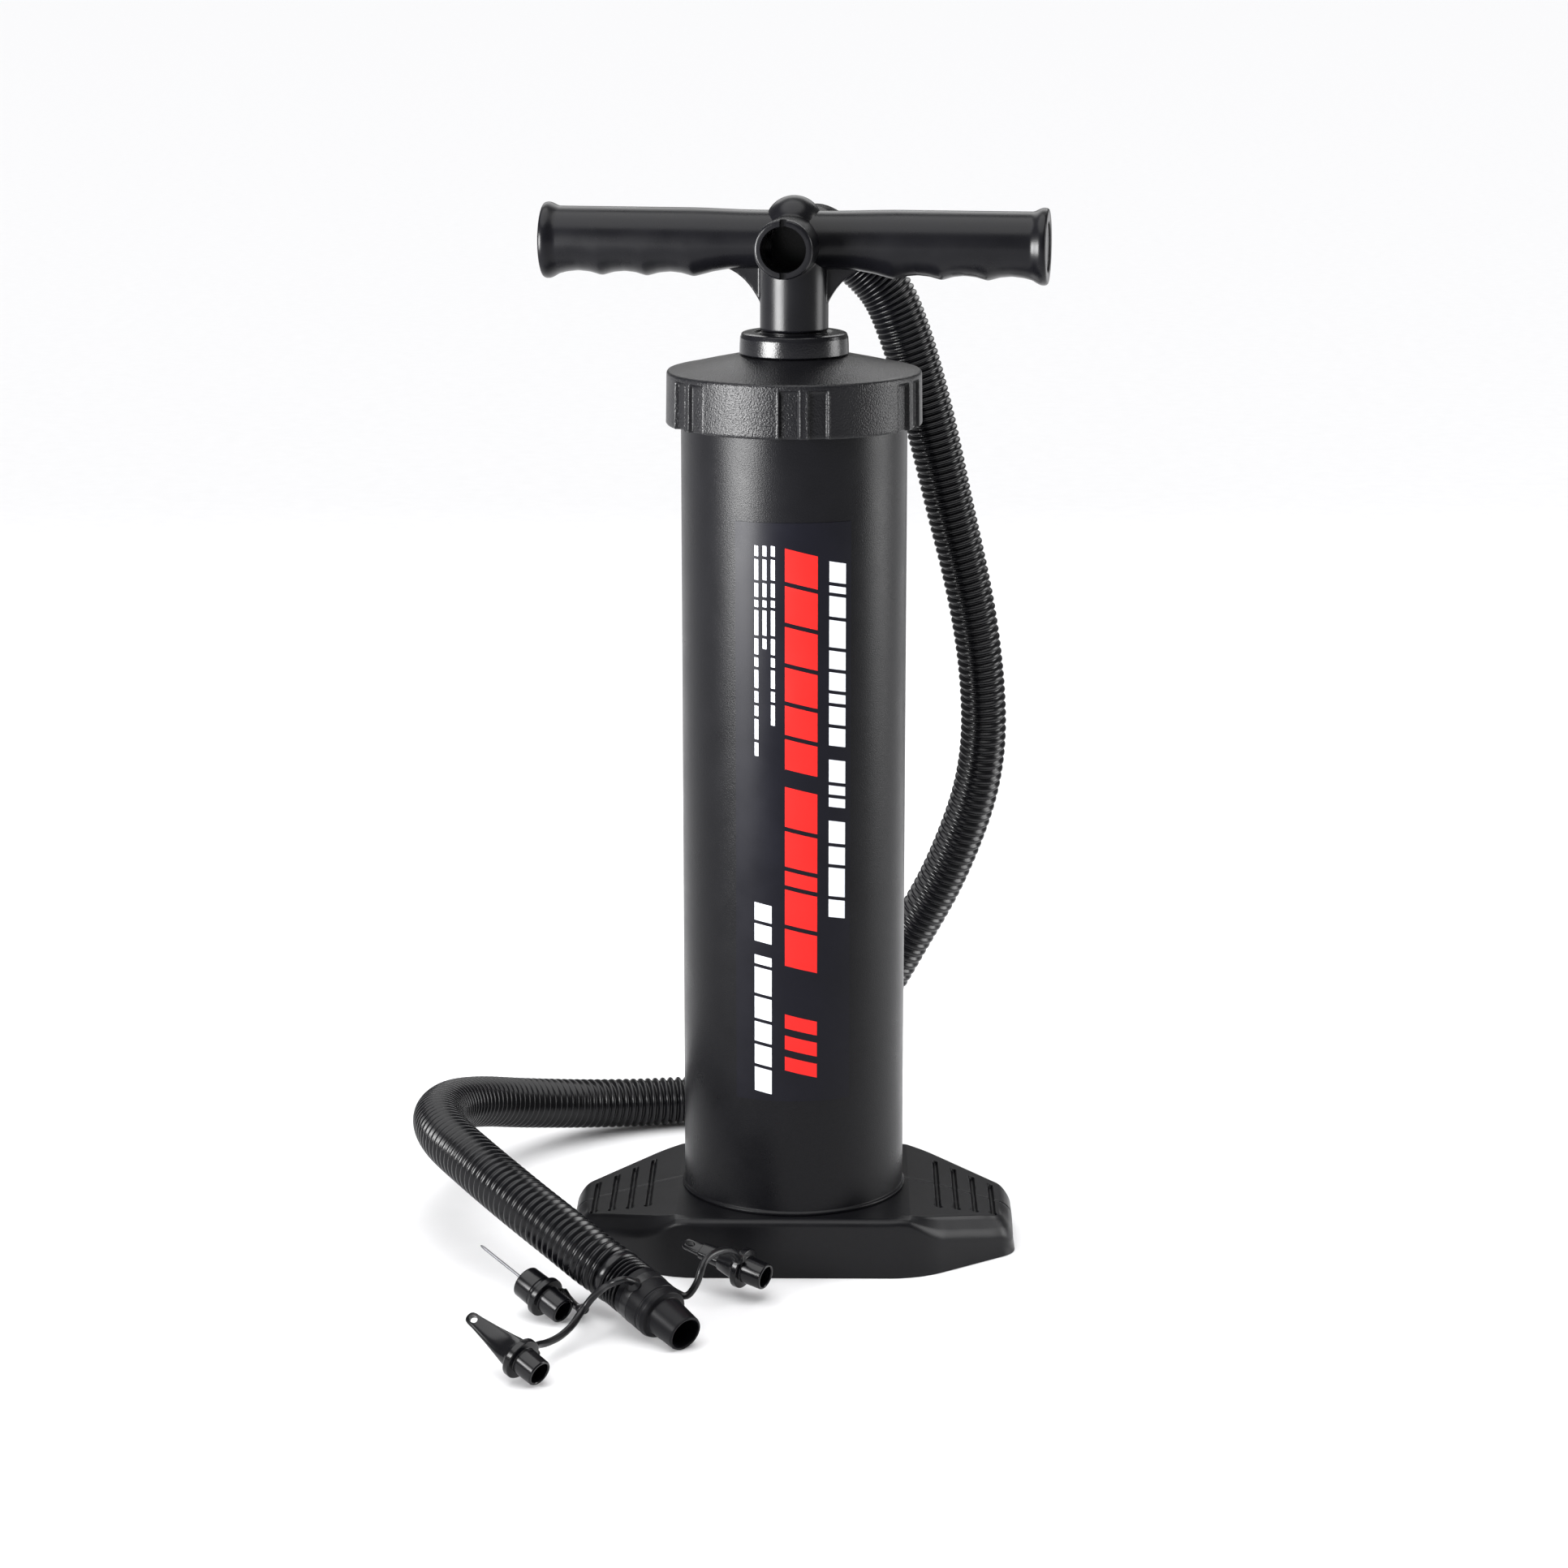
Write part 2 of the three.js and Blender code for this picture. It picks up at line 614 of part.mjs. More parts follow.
function adaptorEnd(bodyR, bodyEnd, tailR) {
  return revolve([
    [0, -bodyEnd], [tailR, -bodyEnd], [bodyR, -FLANGE], [9.2, -FLANGE], [9.2, -SPIGOT], [6.2, -SPIGOT],
    [6.0, -0.5], [5.6, 0], [0, 0],
  ], MEDIUM);
}

const spigotBore = (depth) => cylinder(4.6, -depth, 1, COARSE);

function needleAdaptor() {
  return cut(adaptorEnd(7.1, 27.5, 6.8), spigotBore(23), cylinder(0.9, -30, -20, 10));
}

function needle() {
  return revolve([[0, -54], [0.35, -53.6], [0.62, -52], [0.62, -24], [0, -24]], 10);
}

// A flat blade that narrows to a round tip with an eye.
function blade(rootHalf, tipHalf, rootZ, tipZ, eyeR) {
  const shape = new THREE.Shape();
  shape.moveTo(rootHalf, rootZ);
  shape.lineTo(tipHalf, tipZ);
  shape.absarc(0, tipZ, tipHalf, 0, Math.PI, true);
  shape.lineTo(-rootHalf, rootZ);
  const eye = new THREE.Path();
  eye.absarc(0, tipZ, eyeR, 0, 2 * Math.PI, false);
  shape.holes.push(eye);
  return sidePrism(shape, 2.2).rotateZ(Math.PI / 2);
}

function bladeAdaptor() {
  const body = join(adaptorEnd(6.9, 32, 2), blade(6.8, 2.9, -FLANGE - 1, -42, 1.6));
  return cut(body, spigotBore(18));
}

function steppedAdaptor() {
  const body = join(adaptorEnd(7.1, 23, 5.6), blade(4.6, 2.9, -20, -41, 1.3));
  return cut(body, spigotBore(18));
}

const Z_AXIS = new THREE.Vector3(0, 0, 1);
const ADAPTOR_AIM = new THREE.Vector3(0.717, -0.609, -0.343).normalize();
const STEP_AIM = new THREE.Vector3(0.84, -0.507, -0.178).normalize();

function aimed(mesh, place, aim) {
  mesh.position.set(...place);
  mesh.quaternion.setFromUnitVectors(Z_AXIS, aim);
  return mesh;
}

// ---- the assembly ----

const pump = new THREE.Group();

pump.add(named('foot', grainBlack, footPlate()));
fourCorners(28, 28).forEach(([x, y], i) => {
  const mesh = named(`foot_screw_${i + 1}`, steel, screw(3.8, 2.3, 1.5, 8.6));
  mesh.position.set(x, y, 9 - GAP);
  pump.add(mesh);
});
pump.add(named('barrel', satinBlack, barrel()));
pump.add(named('barrel_label', labelFilm, labelFilmPiece()));
pump.add(named('cap_gasket', rubber, capGasket()));
pump.add(named('screw_cap', grainBlack, screwCap()));
pump.add(named('rod_guide', naturalPlastic, rodGuide()));
pump.add(named('gland_collar', glossBlack, glandCollar()));
pump.add(named('rod_seal', rubber, rodSeal()));

// The handle, the rod and the piston turn together about the barrel's axis.
const moving = new THREE.Group();
moving.rotation.z = HANDLE_TURN;
moving.add(named('rod', satinBlack, rod()));
moving.add(named('piston_upper', naturalPlastic, pistonUpper()));
moving.add(named('piston_lower', naturalPlastic, pistonLower()));
moving.add(named('piston_seal_upper', rubber, pistonSeal(39.7)));
moving.add(named('piston_seal_lower', rubber, pistonSeal(29.4)));
PISTON_SCREWS.forEach(([x, y], i) => {
  const mesh = named(`piston_screw_${i + 1}`, steel, screw(3.2, 2, 1.25, 19.5));
  mesh.rotation.x = Math.PI;
  mesh.position.set(x, y, PISTON.top + GAP);
  moving.add(mesh);
});
moving.add(valve('intake_valve_upper', -VALVE_Y, PISTON.top + 0.2, true));
moving.add(valve('intake_valve_lower', -VALVE_Y, PISTON.bottom - 0.2, false));
moving.add(valve('outlet_valve_upper', VALVE_Y, PISTON.top - PISTON.plate - 0.2, false));
moving.add(valve('outlet_valve_lower', VALVE_Y, PISTON.bottom + PISTON.plate + 0.2, true));

const handle = new THREE.Group();
handle.position.z = HANDLE_Z;
handle.add(named('handle', satinBlack, handleBody()));
handle.add(named('grip_plug_right', satinBlack, alongX(gripPlug())));
handle.add(named('grip_plug_left', satinBlack, alongMinusX(gripPlug())));
handle.add(named('hose_connector', satinBlack, hoseConnector()));
handle.add(named('connector_seal', rubber, connectorSeal()));
moving.add(handle);
pump.add(moving);

pump.add(named('hose_hanging', hoseBlack, tubeAlong(HANGING_ROUTE, HOSE_STRETCHED_R, 10, 24)));
pump.add(named('hose_floor', hoseBlack, tubeAlong(FLOOR_ROUTE, HOSE_R, 10, 26)));
pump.add(aimed(named('nozzle_cuff', satinBlack, nozzleCuff()), CUFF_START.toArray(), CUFF_AIM));
pump.add(aimed(named('strap_band', glossBlack, strapBand()), CUFF_START.toArray(), CUFF_AIM));
pump.add(named('strap_to_blade', glossBlack, tubeAlong(BLADE_STRAP, STRAP_R, 8, 18)));
pump.add(named('strap_to_needle', glossBlack, tubeAlong(NEEDLE_STRAP, STRAP_R, 8, 10)));
pump.add(named('strap_to_step', glossBlack, tubeAlong(STEP_STRAP, STRAP_R, 8, 18)));

const NEEDLE_PLACE = [-99.3, -116.3, 6.2];
pump.add(aimed(named('needle_adaptor', glossBlack, needleAdaptor()), NEEDLE_PLACE, ADAPTOR_AIM));
pump.add(aimed(named('needle', steel, needle()), NEEDLE_PLACE, ADAPTOR_AIM));
pump.add(aimed(named('blade_adaptor', glossBlack, bladeAdaptor()), [-104.3, -189.7, 6.2], ADAPTOR_AIM));
pump.add(aimed(named('stepped_adaptor', glossBlack, steppedAdaptor()), [-11.5, -88, 12], STEP_AIM));

export default pump;
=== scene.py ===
# A double action hand pump with its hose and adaptors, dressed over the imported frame.
# Shapes are worked out in millimetres in the frame's own axes, and made in metres.
import json
import math

import bpy
import numpy as np
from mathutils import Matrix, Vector


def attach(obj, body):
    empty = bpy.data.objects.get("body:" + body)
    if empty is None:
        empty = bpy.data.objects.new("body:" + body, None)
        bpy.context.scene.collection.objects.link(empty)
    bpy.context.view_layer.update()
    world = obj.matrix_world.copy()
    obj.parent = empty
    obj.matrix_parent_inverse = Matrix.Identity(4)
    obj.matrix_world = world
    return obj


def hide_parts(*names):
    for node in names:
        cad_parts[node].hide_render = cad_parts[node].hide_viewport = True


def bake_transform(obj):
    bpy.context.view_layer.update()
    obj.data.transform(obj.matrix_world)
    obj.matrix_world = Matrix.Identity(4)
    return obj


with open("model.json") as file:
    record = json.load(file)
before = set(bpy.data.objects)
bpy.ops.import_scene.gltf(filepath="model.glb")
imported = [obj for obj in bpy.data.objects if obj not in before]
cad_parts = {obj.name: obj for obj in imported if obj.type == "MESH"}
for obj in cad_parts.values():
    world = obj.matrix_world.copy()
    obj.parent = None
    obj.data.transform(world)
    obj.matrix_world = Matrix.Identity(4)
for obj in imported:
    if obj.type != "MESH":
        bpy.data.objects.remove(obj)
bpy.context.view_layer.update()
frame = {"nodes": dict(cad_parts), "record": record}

MM = 0.001
ROOT = "pump_body"
MOVING = "handle_and_piston"
CONNECTOR = "connector"

HEIGHT = 480.0
HANDLE_Z = 459.0
HANDLE_TURN = math.radians(-8.1)
BARREL_R = 50.2
CAP_BOTTOM, CAP_EDGE, CAP_SHOULDER, CAP_TOP, CAP_R = 380.1, 402.3, 403.8, 410.2, 56.8
FOOT_TOP, FOOT_END = 27.3, 17.0
HALF_SPAN = 111.8
GRIP_R, FLARE_R = 15.1, 16.8
PORT_R, PORT_BORE_R, PORT_REACH = 13.0, 10.1, 33.0
STRAP_R = 1.7
ROOM_LIGHT = 0.2
CEILING_LIGHT = 3.1


# ---- camera ----

def make_camera():
    data = bpy.data.cameras.new("camera")
    data.sensor_width = 36.0
    data.lens = 90.24
    camera = bpy.data.objects.new("camera", data)
    camera.location = (0.0151, -1.7329, 0.6157)
    camera.rotation_euler = (math.radians(90 - 13), 0, math.radians(0.648))
    bpy.context.collection.objects.link(camera)
    bpy.context.scene.camera = camera


# ---- materials ----

def new_node(tree, kind, **values):
    node = tree.nodes.new(kind)
    for key, value in values.items():
        node.inputs[key.replace("_", " ")].default_value = value
    return node


def noise(tree, coords, size_mm, detail=2.0):
    """Noise with features of about size_mm."""
    node = new_node(tree, "ShaderNodeTexNoise", Scale=1 / (size_mm * MM), Detail=detail)
    tree.links.new(coords.outputs["Object"], node.inputs["Vector"])
    return node.outputs["Fac"]


def remap(tree, value, low, high):
    node = tree.nodes.new("ShaderNodeMapRange")
    node.inputs["From Min"].default_value = 0.3
    node.inputs["From Max"].default_value = 0.7
    node.inputs["To Min"].default_value = low
    node.inputs["To Max"].default_value = high
    tree.links.new(value, node.inputs["Value"])
    return node.outputs["Result"]


def tint(tree, value, color, spread):
    """The colour, darker and lighter by spread as value goes from 0 to 1."""
    ramp = tree.nodes.new("ShaderNodeValToRGB")
    ramp.color_ramp.elements[0].position = 0.3
    ramp.color_ramp.elements[1].position = 0.7
    ramp.color_ramp.elements[0].color = [c * (1 - spread) for c in color] + [1]
    ramp.color_ramp.elements[1].color = [min(1, c * (1 + spread)) for c in color] + [1]
    tree.links.new(value, ramp.inputs["Fac"])
    return ramp.outputs["Color"]


def bump(tree, height, distance_mm, strength=1.0, under=None):
    node = new_node(tree, "ShaderNodeBump", Strength=strength, Distance=distance_mm * MM)
    tree.links.new(height, node.inputs["Height"])
    if under is not None:
        tree.links.new(under, node.inputs["Normal"])
    return node.outputs["Normal"]


def moulded(name, color, roughness, grain_mm=0.5, grain_depth=0.03, spread=0.12, wobble=0.0,
            metallic=0.0, specular=0.5):
    """Moulded plastic: a fine grain, slow changes of colour and gloss, and a slight waviness."""
    mat = bpy.data.materials.new(name)
    mat.use_nodes = True
    tree = mat.node_tree
    shader = tree.nodes["Principled BSDF"]
    shader.inputs["Metallic"].default_value = metallic
    shader.inputs["Specular IOR Level"].default_value = specular
    coords = tree.nodes.new("ShaderNodeTexCoord")
    broad = noise(tree, coords, 18.0, 3.0)
    tree.links.new(tint(tree, broad, color, spread), shader.inputs["Base Color"])
    tree.links.new(remap(tree, broad, roughness * 0.9, roughness * 1.1), shader.inputs["Roughness"])
    normal = bump(tree, noise(tree, coords, grain_mm), grain_depth)
    if wobble:
        normal = bump(tree, noise(tree, coords, 5.0, 1.0), wobble, under=normal)
    tree.links.new(normal, shader.inputs["Normal"])
    return mat


MATERIALS = {
    "foot_plastic": moulded("foot_plastic", (0.004, 0.004, 0.005), 0.36, 0.45, 0.03, specular=0.2),
    "barrel_plastic": moulded("barrel_plastic", (0.003, 0.003, 0.004), 0.30, 0.5, 0.08, specular=0.16),
    "label_film": moulded("label_film", (0.003, 0.003, 0.006), 0.34, 0.6, 0.006, specular=0.16),
    "cap_plastic": moulded("cap_plastic", (0.004, 0.004, 0.005), 0.32, 0.75, 0.28, specular=0.25),
    "collar_plastic": moulded(
        "collar_plastic", (0.003, 0.003, 0.004), 0.22, 0.8, 0.08, wobble=0.05, specular=0.3),
    "natural_plastic": moulded("natural_plastic", (0.62, 0.63, 0.60), 0.45, 0.7, 0.01, spread=0.05),
    "rod_plastic": moulded("rod_plastic", (0.004, 0.004, 0.005), 0.2, 0.8, 0.004, specular=0.3),
    "handle_plastic": moulded("handle_plastic", (0.003, 0.003, 0.004), 0.28, 0.5, 0.018, specular=0.2),
    "hose_plastic": moulded("hose_plastic", (0.003, 0.003, 0.004), 0.24, 0.5, 0.008, specular=0.3),
    "cuff_plastic": moulded("cuff_plastic", (0.003, 0.003, 0.004), 0.36, 0.5, 0.02, specular=0.14),
    "strap_plastic": moulded("strap_plastic", (0.005, 0.005, 0.006), 0.3, 0.6, 0.012, specular=0.3),
    "adaptor_plastic": moulded("adaptor_plastic", (0.003, 0.003, 0.004), 0.22, 0.7, 0.01, specular=0.3),
    "seal_rubber": moulded("seal_rubber", (0.012, 0.012, 0.013), 0.6, 0.5, 0.01, specular=0.3),
    "valve_rubber": moulded("valve_rubber", (0.016, 0.016, 0.018), 0.55, 0.5, 0.01, specular=0.3),
    "steel": moulded("steel", (0.56, 0.57, 0.58), 0.3, 0.4, 0.006, spread=0.05, metallic=1.0),
    "needle_metal": moulded("needle_metal", (0.16, 0.16, 0.17), 0.35, 0.4, 0.002, spread=0.04, metallic=1.0),
}
RED_INK = moulded("red_ink", (0.62, 0.008, 0.006), 0.42, 0.5, 0.006, spread=0.06, specular=0.3)
WHITE_INK = moulded("white_ink", (0.70, 0.72, 0.78), 0.42, 0.5, 0.006, spread=0.04, specular=0.3)


# ---- meshes ----

def in_place(points):
    return np.asarray(points, float)


def in_handle(points):
    """From the handle's own axes, with the crossing of grips and ports as origin, to the frame's."""
    c, s = math.cos(HANDLE_TURN), math.sin(HANDLE_TURN)
    x, y, z = np.asarray(points, float).T
    return np.column_stack([c * x - s * y, s * x + c * y, z + HANDLE_Z])


def aimed(origin, aim):
    """Puts a piece made along +Z at origin, with its +Z along aim."""
    turn = np.array(Vector((0, 0, 1)).rotation_difference(Vector(aim)).to_matrix())
    return lambda points: np.asarray(points, float) @ turn.T + np.array(origin)


def make(name, points, faces, slot, body=ROOT, place=in_place, crease=38.0, replaces=(), material=None):
    mesh = bpy.data.meshes.new(name)
    mesh.from_pydata((place(points) * MM).tolist(), [], [list(f) for f in faces])
    mesh.validate()
    obj = bpy.data.objects.new(name, mesh)
    bpy.context.collection.objects.link(obj)
    return finish_piece(obj, slot, body, crease, replaces, material)


def finish_piece(obj, slot, body=ROOT, crease=38.0, replaces=(), material=None):
    obj.data.materials.clear()
    obj.data.materials.append(material or MATERIALS[slot])
    obj.data.polygons.foreach_set("use_smooth", [True] * len(obj.data.polygons))
    obj.data.set_sharp_from_angle(angle=math.radians(crease))
    if body:
        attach(obj, body)
    if replaces:
        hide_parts(*replaces)
    return obj


def grid_faces(rows, columns, wrap=True):
    """Quads between rows of points; each row closes on itself where wrap is true."""
    faces = []
    last = columns if wrap else columns - 1
    for i in range(rows - 1):
        for j in range(last):
            k = (j + 1) % columns
            faces.append((i * columns + j, i * columns + k, (i + 1) * columns + k, (i + 1) * columns + j))
    return faces


def rounded(corners, steps=5):
    """A line of (x, y, radius) corners, with an arc of steps + 1 points at each corner with a radius."""
    points = []
    for i, (x, y, radius) in enumerate(corners):
        here = np.array([x, y], float)
        if radius == 0 or i in (0, len(corners) - 1):
            points.append(here)
            continue
        before = np.array(corners[i - 1][:2], float) - here
        after = np.array(corners[i + 1][:2], float) - here
        u, v = before / np.linalg.norm(before), after / np.linalg.norm(after)
        half = math.acos(np.clip(u @ v, -1, 1)) / 2
        reach = min(radius / math.tan(half), 0.49 * np.linalg.norm(before), 0.49 * np.linalg.norm(after))
        a, b = here + u * reach, here + v * reach
        for t in np.linspace(0, 1, steps + 1):
            points.append((1 - t) ** 2 * a + 2 * t * (1 - t) * here + t * t * b)
    return np.array(points)


def lathe(profile, segments=96, shape=None):
    """Points and faces of a profile of [radius, z] turned about Z. shape(angle, r, z) gives a new radius."""
    profile = np.asarray(profile, float)
    angle = np.linspace(0, 2 * math.pi, segments, endpoint=False)
    r = np.repeat(profile[:, :1], segments, axis=1)
    z = np.repeat(profile[:, 1:2], segments, axis=1)
    if shape:
        r = shape(angle[None, :], r, z)
    points = np.stack([r * np.cos(angle), r * np.sin(angle), z], axis=-1).reshape(-1, 3)
    return points, grid_faces(len(profile), segments)


def turned(name, corners, slot, segments=96, closed=False, shape=None, steps=5, **options):
    """A turned piece. corners are (radius, z, rounding); a closed one is a ring with no axis."""
    profile = rounded(corners + corners[:1] if closed else corners, steps)
    points, faces = lathe(profile, segments, shape)
    return make(name, points, faces, slot, **options)


def smoothstep(value, low, high):
    t = np.clip((value - low) / (high - low), 0, 1)
    return t * t * (3 - 2 * t)


def spline(points, spacing=1.0, soften=0.0):
    """An even line through the points, and the same line with its bends eased over soften mm."""
    p = np.asarray(points, float)
    p = np.vstack([2 * p[0] - p[1], p, 2 * p[-1] - p[-2]])
    line = []
    for i in range(1, len(p) - 2):
        a, b, c, d = p[i - 1], p[i], p[i + 1], p[i + 2]
        t0, t1 = 0.0, math.sqrt(np.linalg.norm(b - a))
        t2 = t1 + math.sqrt(np.linalg.norm(c - b))
        t3 = t2 + math.sqrt(np.linalg.norm(d - c))
        for t in np.linspace(t1, t2, 24, endpoint=False):
            ab = a + (b - a) * (t - t0) / (t1 - t0)
            bc = b + (c - b) * (t - t1) / (t2 - t1)
            cd = c + (d - c) * (t - t2) / (t3 - t2)
            abc = ab + (bc - ab) * (t - t0) / (t2 - t0)
            bcd = bc + (cd - bc) * (t - t1) / (t3 - t1)
            line.append(abc + (bcd - abc) * (t - t1) / (t2 - t1))
    line.append(p[-2])
    line = resample(np.array(line), spacing)
    if not soften:
        return line
    for _ in range(int(soften)):
        line[1:-1] += 0.5 * ((line[:-2] + line[2:]) / 2 - line[1:-1])
    return resample(line, spacing)


def run_length(line):
    return np.concatenate([[0], np.cumsum(np.linalg.norm(np.diff(line, axis=0), axis=1))])


def resample(line, spacing):
    s = run_length(line)
    even = np.linspace(0, s[-1], max(2, int(round(s[-1] / spacing)) + 1))
    return np.column_stack([np.interp(even, s, line[:, k]) for k in range(3)])


def sweep(line, stations, radii, sides=32, flat=1.0):
    """A tube round a line: its radius is radii at stations, which are lengths along the line."""
    s = run_length(line)
    centre = np.column_stack([np.interp(stations, s, line[:, k]) for k in range(3)])
    slope = np.gradient(line, s, axis=0)
    slope = np.column_stack([np.interp(stations, s, slope[:, k]) for k in range(3)])
    slope /= np.linalg.norm(slope, axis=1)[:, None]
    side = np.cross(slope[0], [0.0, 0.0, 1.0])
    side /= np.linalg.norm(side)
    angle = np.linspace(0, 2 * math.pi, sides, endpoint=False)
    rings = []
    for c, t, r in zip(centre, slope, radii):
        side = side - t * (side @ t)
        side /= np.linalg.norm(side)
        up = np.cross(side, t)
        rings.append(c + r * (np.outer(np.cos(angle), side) + flat * np.outer(np.sin(angle), up)))
    points = np.vstack(rings + [centre[:1], centre[-1:]])
    faces = grid_faces(len(rings), sides)
    first, last, base = len(points) - 2, len(points) - 1, (len(rings) - 1) * sides
    faces += [(first, (j + 1) % sides, j) for j in range(sides)]
    faces += [(last, base + j, base + (j + 1) % sides) for j in range(sides)]
    return points, faces


def loft(sections, sides=48):
    """Flat to round sections along Z: each is (z, half width, half thickness, squareness)."""
    angle = np.linspace(0, 2 * math.pi, sides, endpoint=False)
    c, s = np.cos(angle), np.sin(angle)
    rows = []
    for z, a, b, power in sections:
        x = a * np.sign(c) * np.abs(c) ** (2 / power)
        y = b * np.sign(s) * np.abs(s) ** (2 / power)
        rows.append(np.column_stack([x, y, np.full(sides, z)]))
    points = np.vstack(rows)
    faces = grid_faces(len(rows), sides)
    faces.append(tuple(range(sides))[::-1])
    faces.append(tuple(range((len(rows) - 1) * sides, len(rows) * sides)))
    return points, faces


def apply_modifiers(obj):
    graph = bpy.context.evaluated_depsgraph_get()
    mesh = bpy.data.meshes.new_from_object(obj.evaluated_get(graph))
    obj.modifiers.clear()
    obj.data = mesh


def loose(name, points, faces, place=in_place):
    """A helper solid that is joined to or cut from a piece and then removed."""
    mesh = bpy.data.meshes.new(name)
    mesh.from_pydata((place(points) * MM).tolist(), [], [list(f) for f in faces])
    obj = bpy.data.objects.new(name, mesh)
    bpy.context.collection.objects.link(obj)
    return obj


def combine(name, solids, voxel_mm, smooth):
    """One skin round several solids, with small fillets where they meet."""
    points, faces = [], []
    for p, f in solids:
        base = len(points)
        points.extend(np.asarray(p).tolist())
        faces.extend([tuple(i + base for i in face) for face in f])
    obj = loose(name, np.array(points), faces)
    remesh = obj.modifiers.new("skin", "REMESH")
    remesh.mode = "VOXEL"
    remesh.voxel_size = voxel_mm * MM
    ease = obj.modifiers.new("ease", "SMOOTH")
    ease.factor = 0.5
    ease.iterations = smooth
    apply_modifiers(obj)
    return obj


def cut(obj, solids):
    for points, faces in solids:
        tool = loose("cutter", points, faces)
        step = obj.modifiers.new("cut", "BOOLEAN")
        step.operation = "DIFFERENCE"
        step.solver = "EXACT"
        step.object = tool
        apply_modifiers(obj)
        bpy.data.objects.remove(tool)


def rod_of(r, z0, z1, sides=64):
    """A plain solid cylinder about Z."""
    points, faces = lathe([[r, z0], [r, z1]], sides)
    return points, faces + [tuple(range(sides))[::-1], tuple(range(sides, 2 * sides))]


def slab(x0, x1, y0, y1, z0, z1):
    points = [[x, y, z] for z in (z0, z1) for x, y in ((x0, y0), (x1, y0), (x1, y1), (x0, y1))]
    faces = [(3, 2, 1, 0), (4, 5, 6, 7), (0, 1, 5, 4), (1, 2, 6, 5), (2, 3, 7, 6), (3, 0, 4, 7)]
    return np.array(points, float), faces


def toward_y(solid, sign=1):
    """A solid made along +Z, laid along +Y or -Y."""
    points, faces = solid
    x, y, z = np.asarray(points, float).T
    return np.column_stack([-x * sign, z * sign, y]), faces


def placed(solid, place):
    return place(solid[0]), solid[1]


# ---- hose and straps: the same routes as the CAD's ----

HANGING_ROUTE = [
    [7.95, 55.85, 459], [9.6, 67.5, 458.6], [12.8, 77, 456.6], [20, 84.5, 451], [30, 88.5, 442.5],
    [41.5, 90.5, 430], [50.5, 93.5, 409], [58.5, 97, 383], [65.5, 100.5, 356], [72.5, 104, 326],
    [80, 108.5, 295], [85.6, 112.5, 267], [89.3, 117.5, 238], [90.3, 122.5, 210], [87.3, 129.5, 184],
    [79.7, 137.5, 157], [69.6, 145, 131], [56, 152.5, 104], [41.5, 159.5, 76], [28.5, 164, 53],
]
FLOOR_ROUTE = [
    [24.5, 165.4, 46], [10, 168.3, 30], [-6, 169.8, 20.5], [-22, 170.3, 14.8], [-40, 169.6, 12.6],
    [-59, 167.5, 12.6], [-79, 162, 13.2], [-107, 148, 17], [-135, 122, 25.5], [-153, 94, 35],
    [-164, 64, 42.5], [-167, 31, 47], [-160, -3, 48.5], [-145, -34, 47], [-130, -58, 43.5],
    [-114, -78, 38], [-98.6, -93.5, 31.5], [-84.2, -107.4, 25], [-75, -113.4, 21], [-67.6, -121.5, 17.8],
]
CUFF_START = np.array([-67.2, -122, 17.8])
CUFF_AIM = np.array([0.634, -0.722, -0.284]) / np.linalg.norm([0.634, -0.722, -0.284])
BLADE_STRAP = [
    [-68.4, -134.6, 26.7], [-71.5, -138, 29], [-76, -139, 28], [-81.2, -133.5, 23], [-86, -131.5, 18],
    [-88.9, -131.6, 14], [-91, -133.5, 11.7], [-93.8, -139.6, 9], [-98.8, -150, 7.5], [-104, -159, 8],
    [-107, -165, 9.5], [-108.5, -171, 10.4],
]
NEEDLE_STRAP = [
    [-90.4, -128.8, 12.6], [-91.6, -125, 11], [-92.4, -119, 8.6], [-93, -112.6, 6.6], [-95.2, -107.4, 6.1],
    [-97.9, -103.6, 7.4], [-100.4, -100.5, 9.6],
]
STEP_STRAP = [
    [-52.6, -117, 16.8], [-49.5, -115.6, 14.6], [-46, -116, 13.2], [-43, -115.5, 16], [-40.4, -115, 21],
    [-39.2, -114, 25], [-37.6, -111, 28], [-34, -106, 29.3], [-28.5, -98, 28], [-25.2, -92.5, 24.6],
    [-24, -88.6, 21.1],
]

# Along the hose: length from the handle, pitch of the corrugation, and outer radius.
HOSE_STATE = [
    (0, 2.3, 12.6), (60, 2.5, 12.5), (90, 2.9, 12.4), (130, 3.15, 12.1), (200, 3.6, 11.2), (250, 3.8, 10.9),
    (330, 4.15, 11.2), (430, 4.0, 11.6), (580, 3.9, 12.1), (660, 4.1, 12.4),
    (800, 4.5, 12.5), (860, 4.1, 12.5),
    (900, 3.7, 12.5), (1000, 3.4, 12.5),
]
# One corrugation: share of the pitch, and depth below the crest.
# One ring of the hose: (share of the pitch, depth below the ring's crest)
CORRUGATION = [
    (0.0, 1.75), (0.13, 1.45), (0.27, 0.55), (0.42, 0.08), (0.58, 0.08), (0.73, 0.55), (0.87, 1.45),
]


